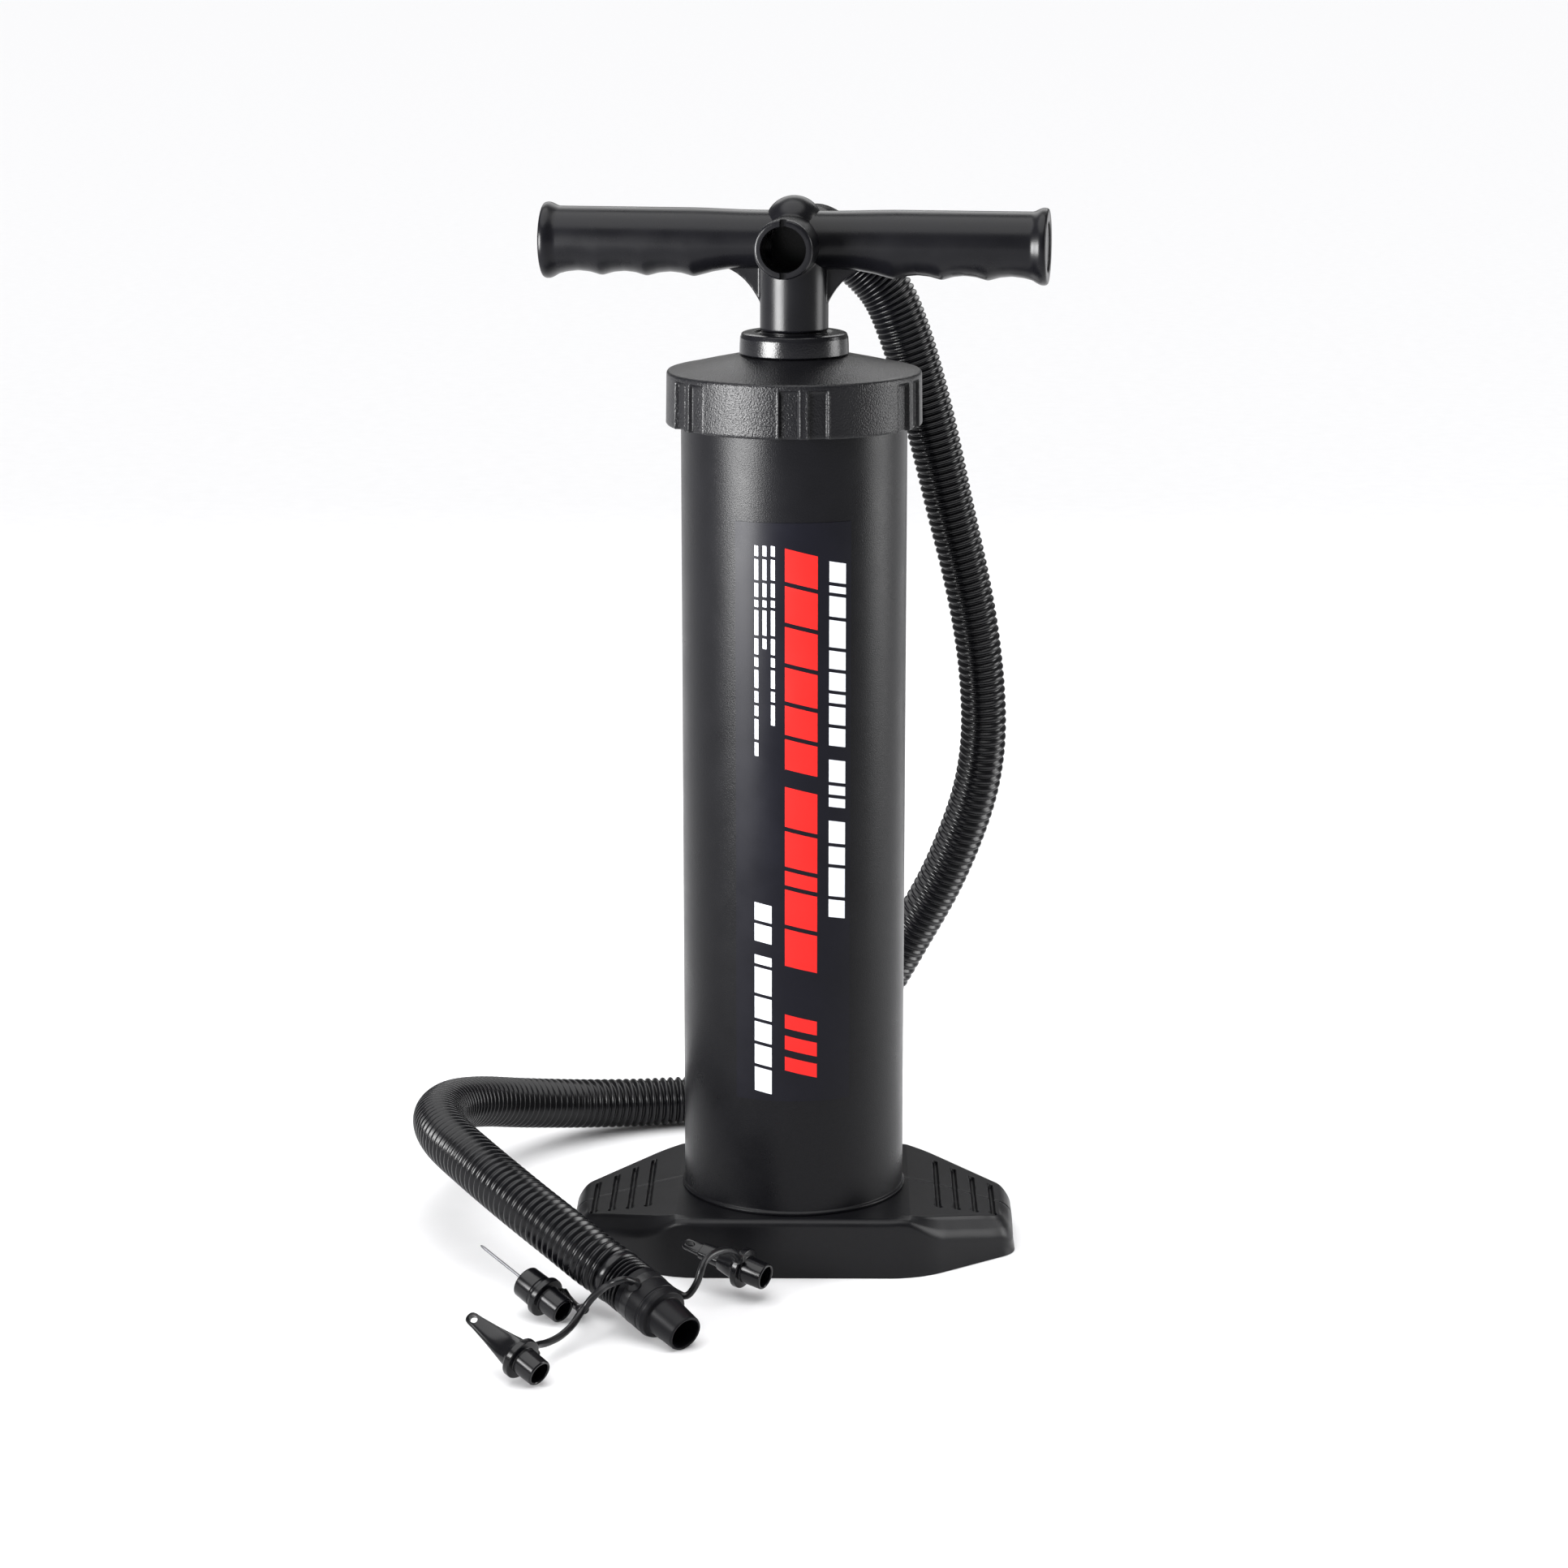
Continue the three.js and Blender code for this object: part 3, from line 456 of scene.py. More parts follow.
def corrugated(total):
    """Stations and radii of the hose: rings, then a plain band and a few small rings at the cuff."""
    length, pitch, radius = np.array(HOSE_STATE, float).T
    stations, radii = [], []
    s = 0.0
    while s < total - 19:
        step = np.interp(s, length, pitch)
        for share, depth in CORRUGATION:
            at = s + share * step
            stations.append(at)
            radii.append(np.interp(at, length, radius) - depth)
        s += step
    stations += [s, s + 0.6, s + 1.4, s + 4.8, s + 5.6]
    radii += [10.6, 11.9, 12.4, 12.4, 11.9]
    s += 6.2
    small = (total - 0.4 - s) / 4
    for _ in range(4):
        for share, depth in CORRUGATION:
            stations.append(s + share * small)
            radii.append(12.2 - 1.2 * depth)
        s += small
    return np.array(stations + [total]), np.array(radii + [10.6])


def make_hose():
    line = spline(HANGING_ROUTE + FLOOR_ROUTE, soften=60)
    total = run_length(line)[-1]
    points, faces = sweep(line, *corrugated(total), sides=40)
    hose = make("hose", points, faces, "hose_plastic", body=None, crease=80.0,
                replaces=("hose_hanging", "hose_floor"))
    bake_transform(hose)
    return hose, line, total


def make_strap(name, route, cord_node):
    line = spline(route, spacing=0.6, soften=6)
    total = run_length(line)[-1]
    stations = np.linspace(0, total, int(total / 0.8))
    radii = np.full(len(stations), STRAP_R)
    ends = np.minimum(stations, total - stations)
    radii += 0.2 * (1 - smoothstep(ends, 0, 4.0))
    points, faces = sweep(line, stations, radii, sides=20, flat=0.95)
    strap = make(name, points, faces, "strap_plastic", crease=60.0, replaces=(cord_node,))
    return strap, line, total


# ---- nozzle and adaptors ----

def make_cuff():
    cuff_place = aimed(CUFF_START, CUFF_AIM)
    corners = [
        (10.9, 0, 0), (12.05, 0, 0.5), (12.05, 14.6, 0.3), (11.75, 14.9, 0.2), (11.75, 15.9, 0.2),
        (12.0, 16.2, 0.3), (12.0, 18.0, 0.8), (11.2, 19.8, 0.6), (9.3, 20.3, 0.3), (9.05, 20.6, 0.3),
        (8.25, 34.4, 0.5), (7.9, 35.2, 0.3), (7.1, 35.2, 0.3), (6.9, 34.4, 0.2),
        (6.9, 4.0, 0.2), (0.0, 4.0, 0),
    ]
    cuff = turned("nozzle_cuff_skin", corners, "cuff_plastic", 96, place=cuff_place,
                  replaces=("nozzle_cuff",))
    band = [(11.9, 3.5, 0), (12.2, 3.6, 0.2), (12.2, 7.9, 0.2), (11.9, 8.0, 0)]
    ring = turned("strap_band_skin", band, "strap_plastic", 72, place=cuff_place, replaces=("strap_band",))
    return cuff, ring


SPIGOT_LINE = [
    (0, -9.0, 0), (4.6, -9.0, 0.2), (4.6, -0.4, 0.2), (4.9, 0, 0.2), (5.6, 0, 0.4), (5.95, -0.6, 0.3),
    (6.15, -10.3, 0.4), (9.1, -10.5, 0.5), (9.2, -13.4, 0.6),
]


def make_needle_adaptor(place):
    corners = SPIGOT_LINE + [
        (7.3, -13.7, 0.5), (7.1, -15.6, 0.4), (7.5, -16.0, 0.4), (7.3, -24.4, 0.9), (5.6, -25.2, 0.4),
        (1.4, -25.2, 0.3), (1.1, -26.1, 0.2), (0, -26.1, 0),
    ]
    body = turned("needle_adaptor_skin", corners, "adaptor_plastic", 80, place=place,
                  replaces=("needle_adaptor",))
    profile = [(0.66, -25.0, 0), (0.66, -51.6, 0.3), (0.5, -53.2, 0.3), (0.2, -54.0, 0.1), (0, -54.0, 0)]
    points, faces = lathe(rounded(profile), 20, lambda a, r, z: r - 0.3 * eye_dent(a, z))
    needle = make("needle_skin", points, faces, "needle_metal", place=place, replaces=("needle",))
    return body, needle


def eye_dent(angle, z):
    """The needle's side hole, near its tip."""
    return np.exp(-((angle - 1.2) / 0.6) ** 2 - ((z + 50.4) / 0.9) ** 2)


def paddle(name, sections, eye, place, node):
    """An adaptor that ends in a flat blade with an eye: eye is (z, half width, half length)."""
    body = turned(name, SPIGOT_LINE + [(7.2, -13.8, 0.6), (6.8, -15.5, 0), (0, -15.5, 0)], "adaptor_plastic", 80,
                  place=place, replaces=(node,))
    blade = loose(name + "_blade", *loft(sections))
    z, half, long = eye
    points, faces = loft([(-9, half, long, 2.0), (9, half, long, 2.0)], 32)
    x, y, depth = points.T
    cut(blade, [(np.column_stack([x, depth, y + z]), [f[::-1] for f in faces])])
    x, y, z = np.array([v.co for v in blade.data.vertices]).T / MM
    blade.data.vertices.foreach_set("co", (place(np.column_stack([-y, x, z])) * MM).ravel())
    finish_piece(blade, "adaptor_plastic", crease=40.0)
    return body, blade


def make_blade_adaptor(place):
    sections = [
        (-45.0, 0.9, 0.5, 2.0), (-44.7, 1.8, 0.9, 2.2), (-44.0, 2.5, 1.2, 2.4), (-42.4, 2.95, 1.4, 2.6),
        (-39.0, 3.2, 1.5, 2.8), (-30.0, 4.5, 1.9, 2.8), (-22.0, 5.9, 2.9, 2.6), (-17.5, 6.7, 4.6, 2.3),
        (-14.0, 7.0, 6.6, 2.0), (-12.0, 7.0, 6.8, 2.0),
    ]
    return paddle("blade_adaptor_skin", sections, (-41.2, 1.6, 2.2), place, "blade_adaptor")


def make_stepped_adaptor(place):
    sections = [
        (-44.0, 1.2, 0.8, 2.2), (-43.6, 2.2, 1.2, 2.6), (-42.4, 2.8, 1.5, 3.0), (-36.0, 3.0, 1.7, 3.0),
        (-34.5, 3.1, 1.8, 3.0), (-34.0, 3.9, 2.3, 2.8), (-24.0, 4.4, 2.9, 2.6), (-23.2, 5.2, 4.6, 2.2),
        (-17.0, 6.4, 6.0, 2.0), (-14.0, 7.0, 6.8, 2.0), (-12.0, 7.0, 6.8, 2.0),
    ]
    return paddle("stepped_adaptor_skin", sections, (-40.2, 1.5, 2.4), place, "stepped_adaptor")


ADAPTOR_AIM = np.array([0.717, -0.609, -0.343])
STEP_AIM = np.array([0.84, -0.507, -0.178])
NEEDLE_PLACE = np.array([-99.3, -116.3, 6.2])
BLADE_PLACE = np.array([-104.3, -189.7, 6.2])
STEP_PLACE = np.array([-11.5, -88, 12])
FLANGE_MIDDLE = -11.9
BAND_MIDDLE = 5.75


def rim_point(origin, aim, along, radius, toward):
    """The point on a round piece's side nearest to toward, at a distance along its axis."""
    centre = origin + along * aim
    out = np.array(toward) - centre
    out -= aim * (out @ aim)
    return centre + out * radius / np.linalg.norm(out)


def make_lug(name, start, end, r_start, r_end):
    """A short moulded web that joins a strap to what it hangs on."""
    line = np.linspace(start, end, 9)
    length = np.linalg.norm(line[-1] - line[0])
    stations = np.array([0, 0.3, 0.9, length * 0.5, length - 0.6, length])
    radii = np.array([r_start * 0.6, r_start * 0.9, r_start, (r_start + r_end) / 2, r_end, r_end * 0.8])
    points, faces = sweep(line, stations, radii, sides=24, flat=0.9)
    return make(name, points, faces, "strap_plastic", crease=60.0)


def make_lugs():
    for name, strap in (("root_left", BLADE_STRAP), ("root_right", STEP_STRAP)):
        start = rim_point(CUFF_START, CUFF_AIM, BAND_MIDDLE, 11.6, strap[0])
        make_lug(name, start, np.array(strap[0]) * 0.85 + np.array(strap[1]) * 0.15, 3.6, 2.0)
    make_lug("fork", np.array([-89.3, -132.6, 13.2]), np.array([-91.0, -126.8, 11.9]), 2.5, 1.9)
    ends = [
        ("lug_blade", BLADE_STRAP, BLADE_PLACE, ADAPTOR_AIM),
        ("lug_needle", NEEDLE_STRAP, NEEDLE_PLACE, ADAPTOR_AIM),
        ("lug_step", STEP_STRAP, STEP_PLACE, STEP_AIM),
    ]
    for name, strap, place, aim in ends:
        make_lug(name, rim_point(place, aim, FLANGE_MIDDLE, 7.9, strap[-1]), np.array(strap[-1]), 2.9, 1.9)


def make_cords():
    hose, line, total = make_hose()
    cuff, ring = make_cuff()
    needle_adaptor = make_needle_adaptor(aimed(NEEDLE_PLACE, ADAPTOR_AIM))
    blade_adaptor = make_blade_adaptor(aimed(BLADE_PLACE, ADAPTOR_AIM))
    stepped_adaptor = make_stepped_adaptor(aimed(STEP_PLACE, STEP_AIM))
    ends = [
        ("strap_to_blade", BLADE_STRAP, blade_adaptor),
        ("strap_to_needle", NEEDLE_STRAP, needle_adaptor),
        ("strap_to_step", STEP_STRAP, stepped_adaptor),
    ]
    for node, route, fitting in ends:
        strap, line, total = make_strap(node + "_skin", route, node)
    make_lugs()


# ---- foot ----

FOOT_CORNERS = [(102, -23, 7), (102, 23, 7), (57, 57.2, 14), (-57, 57.2, 14),
                (-102, 23, 7), (-102, -23, 7), (-57, -57.2, 14), (57, -57.2, 14)]


def foot_reach(angle):
    """Distance from the barrel's axis to the foot's outline, and the slant of the outline there."""
    ring = []
    count = len(FOOT_CORNERS)
    for i, (x, y, r) in enumerate(FOOT_CORNERS):
        here = np.array([x, y], float)
        before = np.array(FOOT_CORNERS[i - 1][:2], float) - here
        after = np.array(FOOT_CORNERS[(i + 1) % count][:2], float) - here
        a = here + before / np.linalg.norm(before) * r
        b = here + after / np.linalg.norm(after) * r
        for t in np.linspace(0, 1, 17):
            ring.append((1 - t) ** 2 * a + 2 * t * (1 - t) * here + t * t * b)
    ring = resample(np.column_stack([np.array(ring + ring[:1]), np.zeros(len(ring) + 1)]), 0.5)[:-1, :2]
    turn = np.arctan2(ring[:, 1], ring[:, 0])
    order = np.argsort(turn)
    radius = np.hypot(ring[:, 0], ring[:, 1])
    reach = np.interp(angle, turn[order], radius[order], period=2 * math.pi)
    slope = np.gradient(reach, angle)
    facing = reach / np.hypot(reach, slope)
    for _ in range(12):
        facing = (np.roll(facing, 1) + facing + np.roll(facing, -1)) / 3
    return reach, facing


GROOVES = [(66.3 + 8.45 * i, -28 + 2.4 * i, 38.5 - 5.7 * i) for i in range(4)]


def groove_depth(x, y):
    """Four grooves across each wing, each ending in a pocket at the front, and the moulding line between."""
    depth = np.zeros_like(x)
    for at, front, back in GROOVES:
        along = np.clip(y, front + 1.2, back - 1.2)
        away = np.hypot(np.abs(x) - at, y - along)
        depth = np.maximum(depth, 1.9 * (1 - smoothstep(away, 0.5, 1.4)))
        pocket = np.hypot(np.abs(x) - at, y - front - 1.3)
        depth = np.maximum(depth, 2.8 * (1 - smoothstep(pocket, 0.9, 2.0)))
    line = 4.5 - 1.3 * np.clip(np.floor((np.abs(x) - 66.3) / 8.45) + 1, 0, 4)
    return np.maximum(depth, 0.6 * np.exp(-((y - line) / 0.55) ** 2))


def foot_height(x, y, inward):
    """Height of the foot's top at (x, y), which is inward mm inside the outline."""
    far = np.abs(x)
    front = smoothstep(-y, -2, 12)
    top = FOOT_TOP - (FOOT_TOP - FOOT_END) * np.clip((far - 53) / 45, 0, 2)
    top = top - 4.5 * smoothstep(far, 94, 104) ** 1.5
    wing = smoothstep(-y, 0, 30) * smoothstep(far, 46, 70)
    top = top - wing * (0.95 * np.clip(6.6 - inward, 0, 6.6) + 0.5 * (1 - smoothstep(inward, 5.4, 7.4)))
    edge = 3.6 - 1.2 * front * smoothstep(far, 40, 60) - 1.6 * (1 - front)
    lean = np.clip(edge - inward, 0, edge)
    top = top - (edge - np.sqrt(np.maximum(edge ** 2 - lean ** 2, 0)))
    return top - groove_depth(x, y)


def make_foot():
    turns, steps = 1080, 150
    angle = np.linspace(-math.pi, math.pi, turns, endpoint=False)
    reach, facing = foot_reach(angle)
    rows = []
    inner = BARREL_R + 0.2
    rows.append((np.full(turns, inner), np.full(turns, 14.0)))
    for share in 1 - (1 - np.linspace(0, 1, steps)) ** 1.25:
        r = inner + (reach - 0.9 - inner) * share
        inward = (reach - 0.9 - r) * facing
        rows.append((r, foot_height(r * np.cos(angle), r * np.sin(angle), inward)))
    rim = rows[-1][1]
    for share in (0.12, 0.35, 0.6, 0.85, 0.96):
        bulge = -0.5 * math.sin(math.pi * share)
        rows.append((reach - 0.9 + 0.9 * share + bulge, rim * (1 - share)))
    rows.append((reach - 0.3, np.full(turns, 0.15)))
    rows.append((reach - 0.9, np.full(turns, 0.0)))
    rows.append((reach - 3.4, np.full(turns, 0.0)))
    rows.append((reach - 4.0, np.full(turns, 5.0)))
    rows.append((np.full(turns, 20.0), np.full(turns, 5.0)))
    rows.append((np.full(turns, 0.0), np.full(turns, 5.0)))
    points = np.vstack([np.column_stack([r * np.cos(angle), r * np.sin(angle), z]) for r, z in rows])
    make("foot_skin", points, grid_faces(len(rows), turns), "foot_plastic", crease=50.0, replaces=("foot",))


# ---- barrel, label, cap, collar and rod ----

def make_barrel():
    corners = [
        (0, 13, 0), (49.8, 13, 0.4), (50.2, 27.0, 0), (51.1, 27.6, 0.3), (51.2, 28.6, 0.5), (50.2, 29.4, 0.4),
        (50.2, 60, 0), (50.2, 200, 0), (50.2, 383, 0), (50.2, 396.6, 0.6), (48.4, 396.6, 0.4), (48.4, 300, 0),
        (48.4, 15.6, 0.4), (0, 15.6, 0),
    ]
    turned("barrel_skin", corners, "barrel_plastic", 192, replaces=("barrel",))


def on_barrel(across, up, proud):
    """Points at a distance across the barrel's front, at a height, and proud of its wall."""
    angle = np.asarray(across, float) / BARREL_R - math.pi / 2
    r = BARREL_R + proud
    return np.column_stack([r * np.cos(angle), r * np.sin(angle), up])


def patch(corners, proud, depth, step=1.2):
    """A four-cornered print wrapped on the barrel with a thin edge: corners are (across, up) in order."""
    a, b, c, d = np.asarray(corners, float)
    count = max(2, int(np.linalg.norm(b - a) / step) + 1)
    share = np.linspace(0, 1, count)[:, None]
    top, bottom = a + (b - a) * share, d + (c - d) * share
    rows = [on_barrel(*top.T, proud - depth), on_barrel(*top.T, proud), on_barrel(*bottom.T, proud),
            on_barrel(*bottom.T, proud - depth)]
    return np.vstack(rows), grid_faces(4, count, wrap=False)


LABEL_LOW, LABEL_HIGH, LABEL_HALF = 81.5, 343.0, 26.2


def make_label():
    """A dark film on the barrel's front, printed with plain bars and blocks."""
    across = np.linspace(-LABEL_HALF, LABEL_HALF, 41)
    up = np.linspace(LABEL_LOW, LABEL_HIGH, 3)
    rows = [on_barrel(across, np.full(41, z), 0.45) for z in up]
    front = np.vstack(rows)
    points = np.vstack([front, np.vstack([on_barrel(across, np.full(41, z), 0.1) for z in up])])
    faces = grid_faces(3, 41, wrap=False)
    count = len(front)
    rim = [j for j in range(41)] + [41 * 1 + 40, 41 * 2 + 40] + [82 + j for j in range(39, -1, -1)] + [41]
    for a, b in zip(rim, rim[1:] + rim[:1]):
        faces.append((a, a + count, b + count, b))
    make("label_skin", points, faces, "label_film", replaces=("barrel_label",))


def slanted(left, right, top, tall, slant):
    """A bar whose right end is lower than its left end."""
    return [(left, top), (right, top - slant), (right, top - tall - slant), (left, top - tall)]


def print_on_label(name, shapes, ink):
    points, faces = [], []
    for shape in shapes:
        p, f = patch(shape, 0.5, 0.06)
        base = len(points)
        points.extend(p.tolist())
        faces.extend([tuple(i + base for i in face) for face in f])
    make(name, np.array(points), faces, "label_film", material=ink)


def column(left, right, top, tall, gap, slant):
    """Slanted blocks down a column, one for each height in tall; a height of 0 leaves a wider gap."""
    shapes = []
    for height in tall:
        if height:
            shapes.append(slanted(left, right, top, height, slant))
        top -= height + gap if height else 3 * gap
    return shapes


def make_label_print():
    """Plain blocks where such a label carries its lines of print."""
    red = column(-3.5, 10.7, 332, [14.5, 16, 16, 15, 13, 13.5, 0, 18, 16, 6.5, 16, 17], 2.0, 3.7)
    red += column(-3.5, 10.7, 122, [6.4] * 3, 3.4, 3.7)
    white = column(15.9, 23.6, 326, [9, 3, 9, 12, 8, 8, 4, 8, 8, 0, 10, 4, 4, 0, 10, 8, 13, 8], 1.6, 1.5)
    white += column(-17.2, -9.4, 173, [8, 8, 0, 4, 12, 10, 9, 9, 11], 1.6, 1.5)
    words = [4.5, 9, 6, 3, 11, 7, 4, 8, 5]
    for left, reach in ((-17.0, 9), (-13.3, 5), (-9.6, 8)):
        white += column(left, left + 1.7, 333, words[:reach] + words[:reach // 3], 1.5, 0.3)
    print_on_label("label_red", red, RED_INK)
    print_on_label("label_white", white, WHITE_INK)


def cap_flutes(angle, r, z):
    """Six pairs of grip flutes, each pair with a narrow ridge between."""
    turn = np.degrees(angle) + 90 - 4.7
    turn = (turn + 30) % 60 - 30
    away = np.abs(np.abs(turn) - 6.4)
    wide = 1 - smoothstep(away, 3.7, 4.6)
    tall = smoothstep(z, CAP_BOTTOM - 2, CAP_BOTTOM - 1) * (1 - smoothstep(z, CAP_EDGE - 2.2, CAP_EDGE - 1.0))
    lip = 0.22 * np.exp(-((away - 4.9) / 0.5) ** 2) * tall
    on_skirt = (r > CAP_R - 2.5) * 1.0
    return r - on_skirt * (1.55 * wide * tall - lip)


def make_cap():
    skirt = [
        (CAP_R - 0.35 * i / 24, CAP_BOTTOM + 0.6 + (CAP_EDGE - CAP_BOTTOM - 0.8) * i / 24, 0)
        for i in range(25)
    ]
    corners = [(53.2, 399.0, 0), (53.2, CAP_BOTTOM + 0.3, 0), (53.6, CAP_BOTTOM, 0),
               (CAP_R - 0.4, CAP_BOTTOM, 0)]
    corners += skirt
    corners += [(CAP_R - 0.4, CAP_EDGE + 0.1, 0), (CAP_R - 0.55, CAP_EDGE + 0.7, 0),
                (CAP_R - 1.0, CAP_EDGE + 1.2, 0),
                (CAP_R - 1.9, CAP_SHOULDER - 0.05, 0), (54.0, CAP_SHOULDER + 0.05, 0), (40, 407.0, 0),
                (26, 409.95, 0), (24.9, CAP_TOP, 0), (19.3, CAP_TOP, 0), (19.3, 399.0, 0), (53.2, 399.0, 0)]
    turned("cap_skin", corners, "cap_plastic", 1440, shape=cap_flutes, crease=50.0, replaces=("screw_cap",))


def make_collar():
    corners = [
        (15.2, 410.6, 0), (23.6, 410.6, 0.3), (24.2, 411.1, 0.4), (24.1, 415, 0), (23.9, 418.0, 1.2),
        (23.2, 419.9, 1.0), (21.6, 420.3, 0.6), (17.6, 420.3, 0.5), (16.6, 419.4, 0.4), (15.3, 419.2, 0.3),
        (15.2, 410.6, 0),
    ]
    turned("collar_skin", corners, "collar_plastic", 160, replaces=("gland_collar",))


def make_rod():
    corners = [(0, 49.3, 0), (14.3, 49.3, 0.3), (14.6, 49.8, 0.2), (14.6, 200, 0), (14.6, 420.7, 0),
               (0, 420.7, 0)]
    turned("rod_skin", corners, "rod_plastic", 96, body=MOVING, replaces=("rod",))


# ---- handle ----

def under_depth(x):
    """How far the underside of a grip is cut up from its full radius, along the grip."""
    knots = [(0, 3.3), (28, 3.3), (36, 2.1), (44.5, 0.0), (50, 1.5), (54.8, 2.0), (60, 1.5), (65.5, 0.0),
             (70.5, 1.5), (75.4, 2.0), (80.5, 1.5), (85.6, 0.0), (91, 1.5), (96.2, 2.0), (101.5, 1.4), (106.5, 0.1),
             (112, 0.0)]
    at, depth = np.array(knots, float).T
    fine = np.linspace(0, 112, 449)
    line = np.interp(fine, at, depth)
    for _ in range(14):
        line[1:-1] = (line[:-2] + 2 * line[1:-1] + line[2:]) / 4
    return np.interp(x, fine, line)


def grip_radius(x):
    """The grip's own radius along its length, with the flare at its end."""
    base = GRIP_R - 0.7 * (1 - smoothstep(x, 15, 48))
    flare = (FLARE_R - GRIP_R) * smoothstep(x, 104.5, 109.6)
    return base + flare


def make_grip(name, sign):
    sides = 96
    along = np.concatenate([np.linspace(8, 109.6, 170), [110.2, 110.8, 111.3, 111.65, HALF_SPAN]])
    ease = np.concatenate([np.zeros(170), [0.0, 0.1, 0.3, 0.65, 1.1]])
    angle = np.linspace(0, 2 * math.pi, sides, endpoint=False)
    below = np.clip(-np.sin(angle), 0, 1) ** 1.6
    rows = []
    for x, drop in zip(along, ease):
        r = grip_radius(x) - drop - under_depth(x) * below
        rows.append(np.column_stack([np.full(sides, sign * x), r * np.cos(angle), r * np.sin(angle)]))
    for x, r in ((HALF_SPAN, 11.4), (HALF_SPAN - 0.3, 10.9), (HALF_SPAN - 3, 10.8), (HALF_SPAN - 3, 0.0)):
        rows.append(np.column_stack([np.full(sides, sign * x), r * np.cos(angle), r * np.sin(angle)]))
    faces = grid_faces(len(rows), sides)
    if sign < 0:
        faces = [f[::-1] for f in faces]
    make(name, np.vstack(rows), faces, "handle_plastic", MOVING, in_handle, crease=42.0)


def gusset_plate():
    """The two webs under the grips, as one plate."""
    curve = []
    for t in np.linspace(0, 1, 13):
        a, b, c = np.array([30, -11.0]), np.array([20.5, -14.2]), np.array([14.4, -27])
        curve.append((1 - t) ** 2 * a + 2 * t * (1 - t) * b + t * t * c)
    outline = [(30, -8.0)] + [tuple(p) for p in curve]
    outline += [(-x, z) for x, z in outline[::-1]]
    count = len(outline)
    points = [[x, y, z] for y in (-2.6, 2.6) for x, z in outline]
    faces = [tuple(range(count)), tuple(range(count, 2 * count))[::-1]]
    faces += [((i + 1) % count, i, i + count, (i + 1) % count + count) for i in range(count)]
    return np.array(points, float), faces


def hub_solids():
    dome = [(0, -8, 0), (12.9, -8, 0), (12.9, 8, 0)]
    centre = HEIGHT - HANDLE_Z - 12.95
    arc = np.linspace(0.05, math.pi / 2, 14)
    dome += [(12.95 * math.cos(a), centre + 12.95 * math.sin(a), 0) for a in arc]
    stem = [(0, -38, 0), (14.5, -38, 0), (15.1, -37.4, 0), (15.1, 2, 0), (12, 4, 0), (0, 4, 0)]
    tube = [(0, -PORT_REACH, 0), (12.2, -PORT_REACH, 0), (PORT_R, -PORT_REACH + 0.8, 0),
            (PORT_R, PORT_REACH - 0.8, 0),
            (12.2, PORT_REACH, 0), (0, PORT_REACH, 0)]
    turn = [lathe(np.array(p)[:, :2], 96) for p in (dome, stem, tube)]
    return [turn[0], turn[1], toward_y(turn[2]), gusset_plate()]


def make_hub():
    hub = combine("handle_hub", [placed(s, in_handle) for s in hub_solids()], 0.45, 5)
    cutters = []
    for sign in (-1, 1):
        cutters.append(toward_y(rod_of(PORT_BORE_R, 1.5, 40), sign))
        cutters.append(toward_y(rod_of(11.3, 26, 29.5), sign))
        cutters.append(toward_y(slab(-1.5, 1.5, -15, 15, PORT_REACH - 2.4, 40), sign))
    cut(hub, [placed(c, in_handle) for c in cutters])
    finish_piece(hub, "handle_plastic", MOVING, crease=50.0, replaces=("handle",))


def make_plugs():
    corners = [(0, 0, 0), (9.9, 0, 0.4), (10.6, -0.6, 0.3), (10.7, -3, 0)]
    for name, sign in (("right", 1), ("left", -1)):
        points, faces = lathe(rounded(corners), 72)
        x, y, z = points.T
        points = np.column_stack([sign * (z + HALF_SPAN - 0.7), y, x * sign])
        make(f"plug_{name}_skin", points, faces, "handle_plastic", MOVING, in_handle,
             replaces=(f"grip_plug_{name}",))


def make_connector():
    corners = [
        (9.8, 20, 0), (9.8, 33.2, 0), (12.6, 33.3, 0.3), (13.2, 33.8, 0.4), (13.2, 36.0, 0.5), (12.5, 36.6, 0.3),
        (12.4, 53.4, 0.8), (11.9, 55.9, 0.6), (10.6, 56.0, 0.3), (10.2, 54, 0), (0, 54, 0),
    ]
    solid = toward_y(lathe(rounded(corners), 96))
    make("connector_skin", *solid, "handle_plastic", CONNECTOR, in_handle, replaces=("hose_connector",))


# ---- CAD nodes that stay, floor and light ----

def dress_cad_nodes():
    for entry in frame["record"]["subparts"]:
        obj = frame["nodes"][entry["node"]]
        obj.data.materials.clear()
        obj.data.materials.append(MATERIALS[entry["material_slot"]])


def make_floor():
    mat = moulded("floor_paper", (0.86, 0.86, 0.87), 0.9, 1.0, 0.01, spread=0.01)
    mesh = bpy.data.meshes.new("floor")
    mesh.from_pydata([(-30, -8, 0), (30, -8, 0), (30, 60, 0), (-30, 60, 0)], [], [(0, 1, 2, 3)])
    mesh.materials.append(mat)
    floor = bpy.data.objects.new("floor", mesh)
    bpy.context.collection.objects.link(floor)


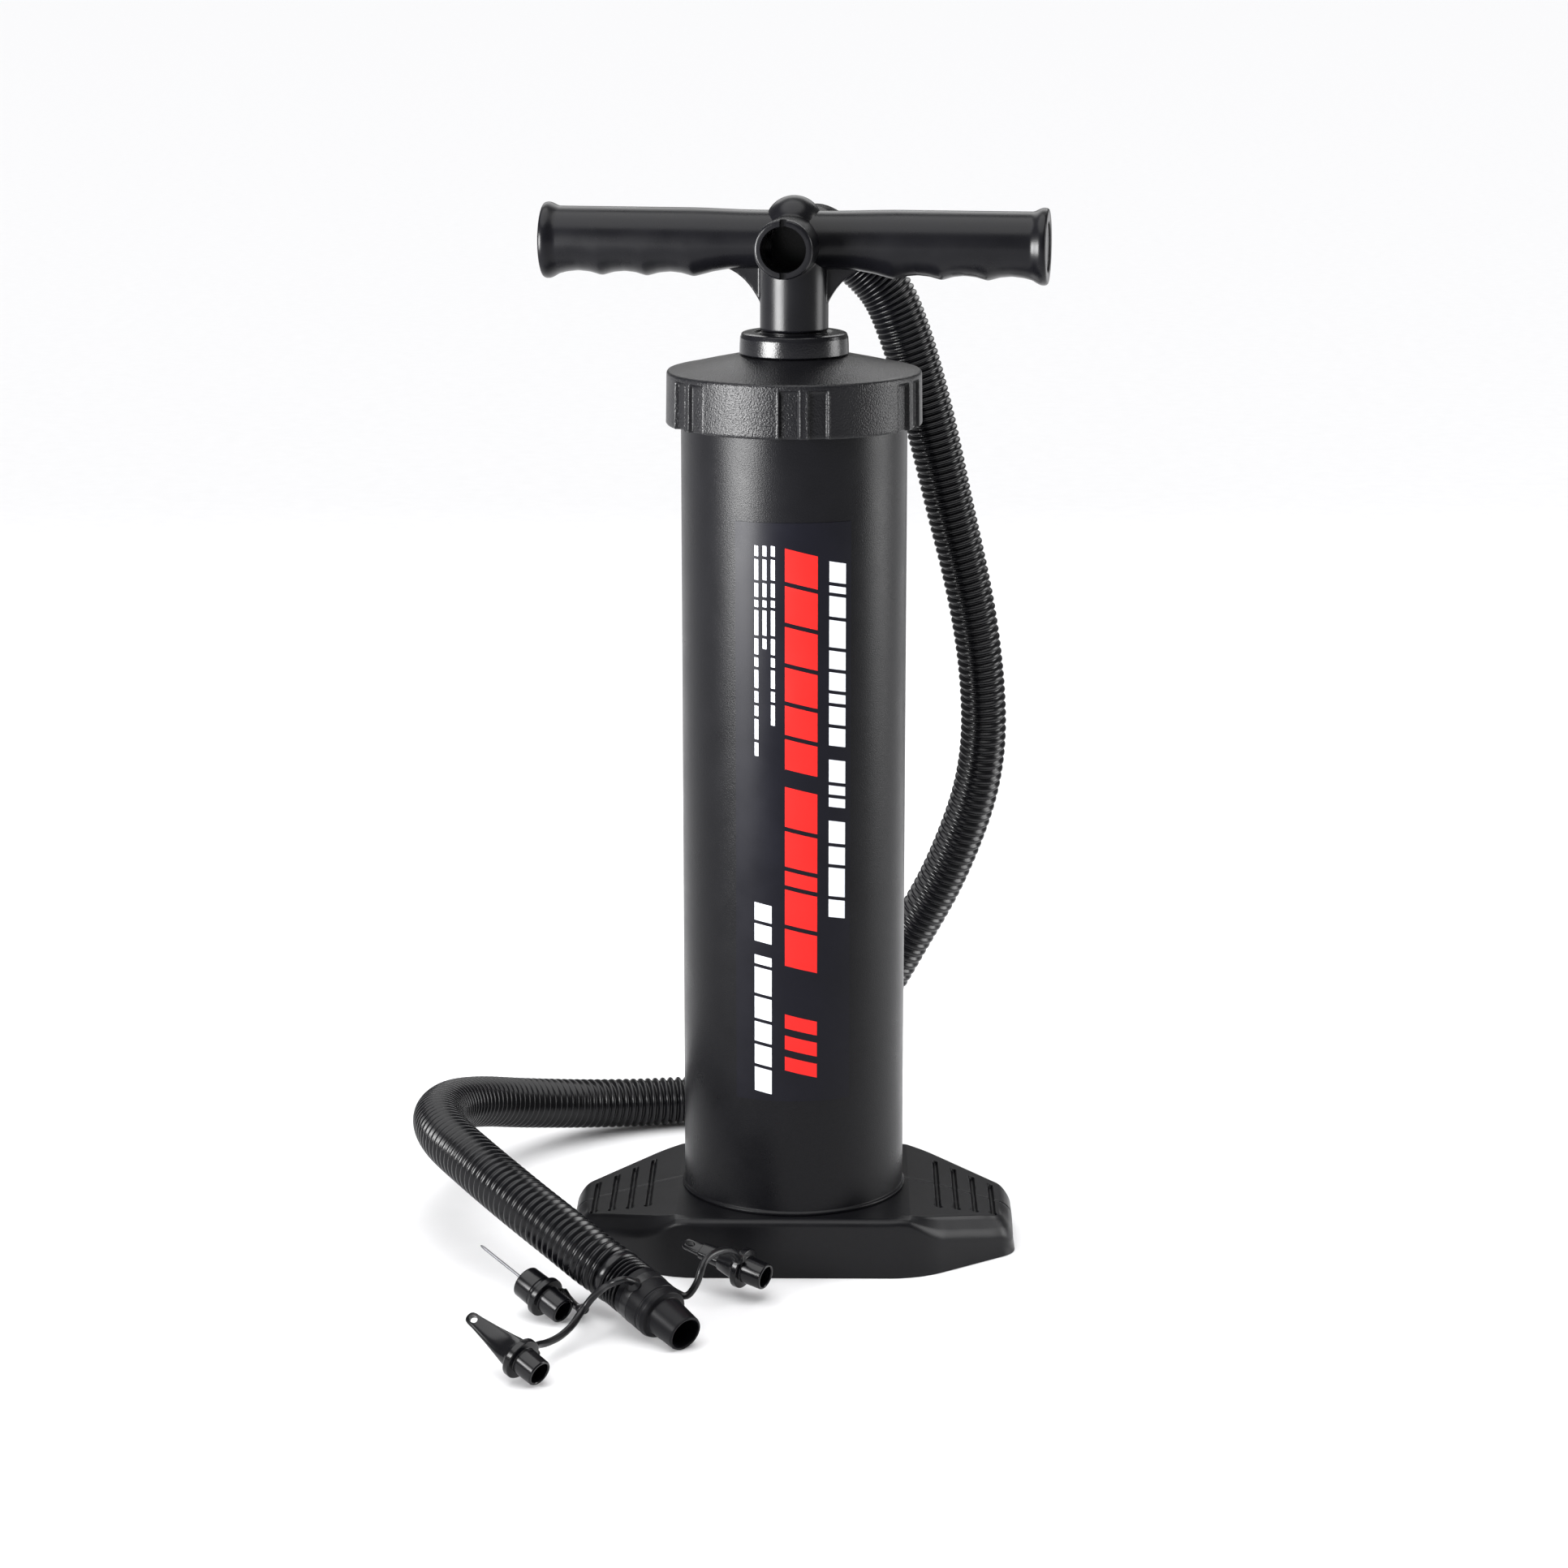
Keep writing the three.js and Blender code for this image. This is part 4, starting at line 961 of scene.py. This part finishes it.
def softbox(name, place, target, width, height, power, spread=180):
    """A rectangular light seen only in reflections; spread is its beam in degrees."""
    data = bpy.data.lights.new(name, "AREA")
    data.shape = "RECTANGLE"
    data.size = width
    data.size_y = height
    data.energy = power
    data.spread = math.radians(spread)
    light = bpy.data.objects.new(name, data)
    light.location = place
    light.rotation_euler = (Vector(target) - Vector(place)).to_track_quat("-Z", "Y").to_euler()
    light.visible_camera = False
    bpy.context.collection.objects.link(light)


def make_world():
    """White behind everything, but a dim room in the reflections, as with black cards round a set."""
    world = bpy.data.worlds.new("studio")
    world.use_nodes = True
    tree = world.node_tree
    seen = tree.nodes["Background"]
    seen.inputs["Color"].default_value = (1, 1, 1, 1)
    room = new_node(tree, "ShaderNodeBackground", Color=(1, 1, 1, 1), Strength=ROOM_LIGHT)
    mix = tree.nodes.new("ShaderNodeMixShader")
    path = tree.nodes.new("ShaderNodeLightPath")
    tree.links.new(path.outputs["Is Camera Ray"], mix.inputs["Fac"])
    tree.links.new(room.outputs["Background"], mix.inputs[1])
    tree.links.new(seen.outputs["Background"], mix.inputs[2])
    tree.links.new(mix.outputs["Shader"], tree.nodes["World Output"].inputs["Surface"])
    bpy.context.scene.world = world
    bpy.context.scene.view_settings.view_transform = "Standard"


def make_lights():
    """A wide light from above keeps the floor white, and a strip on each side draws the highlights."""
    data = bpy.data.lights.new("ceiling", "SUN")
    data.energy = CEILING_LIGHT
    data.angle = math.radians(70)
    ceiling = bpy.data.objects.new("ceiling", data)
    ceiling.rotation_euler = (math.radians(8), math.radians(-6), 0)
    bpy.context.collection.objects.link(ceiling)
    softbox("left_key", (-0.66, -0.50, 0.44), (0, 0, 0.44), 0.46, 0.48, 5.4, 70)
    softbox("right_fill", (1.1, 0.1, 0.5), (0, 0, 0.35), 0.5, 0.9, 3.2, 90)
    softbox("back_fill", (0, 1.3, 1.3), (0, 0, 0.4), 1.6, 0.8, 9)


make_camera()
make_cords()
dress_cad_nodes()
make_foot()
make_barrel()
make_label()
make_label_print()
make_cap()
make_collar()
make_rod()
make_grip("grip_right", 1)
make_grip("grip_left", -1)
make_hub()
make_plugs()
make_connector()
make_floor()
make_world()
make_lights()
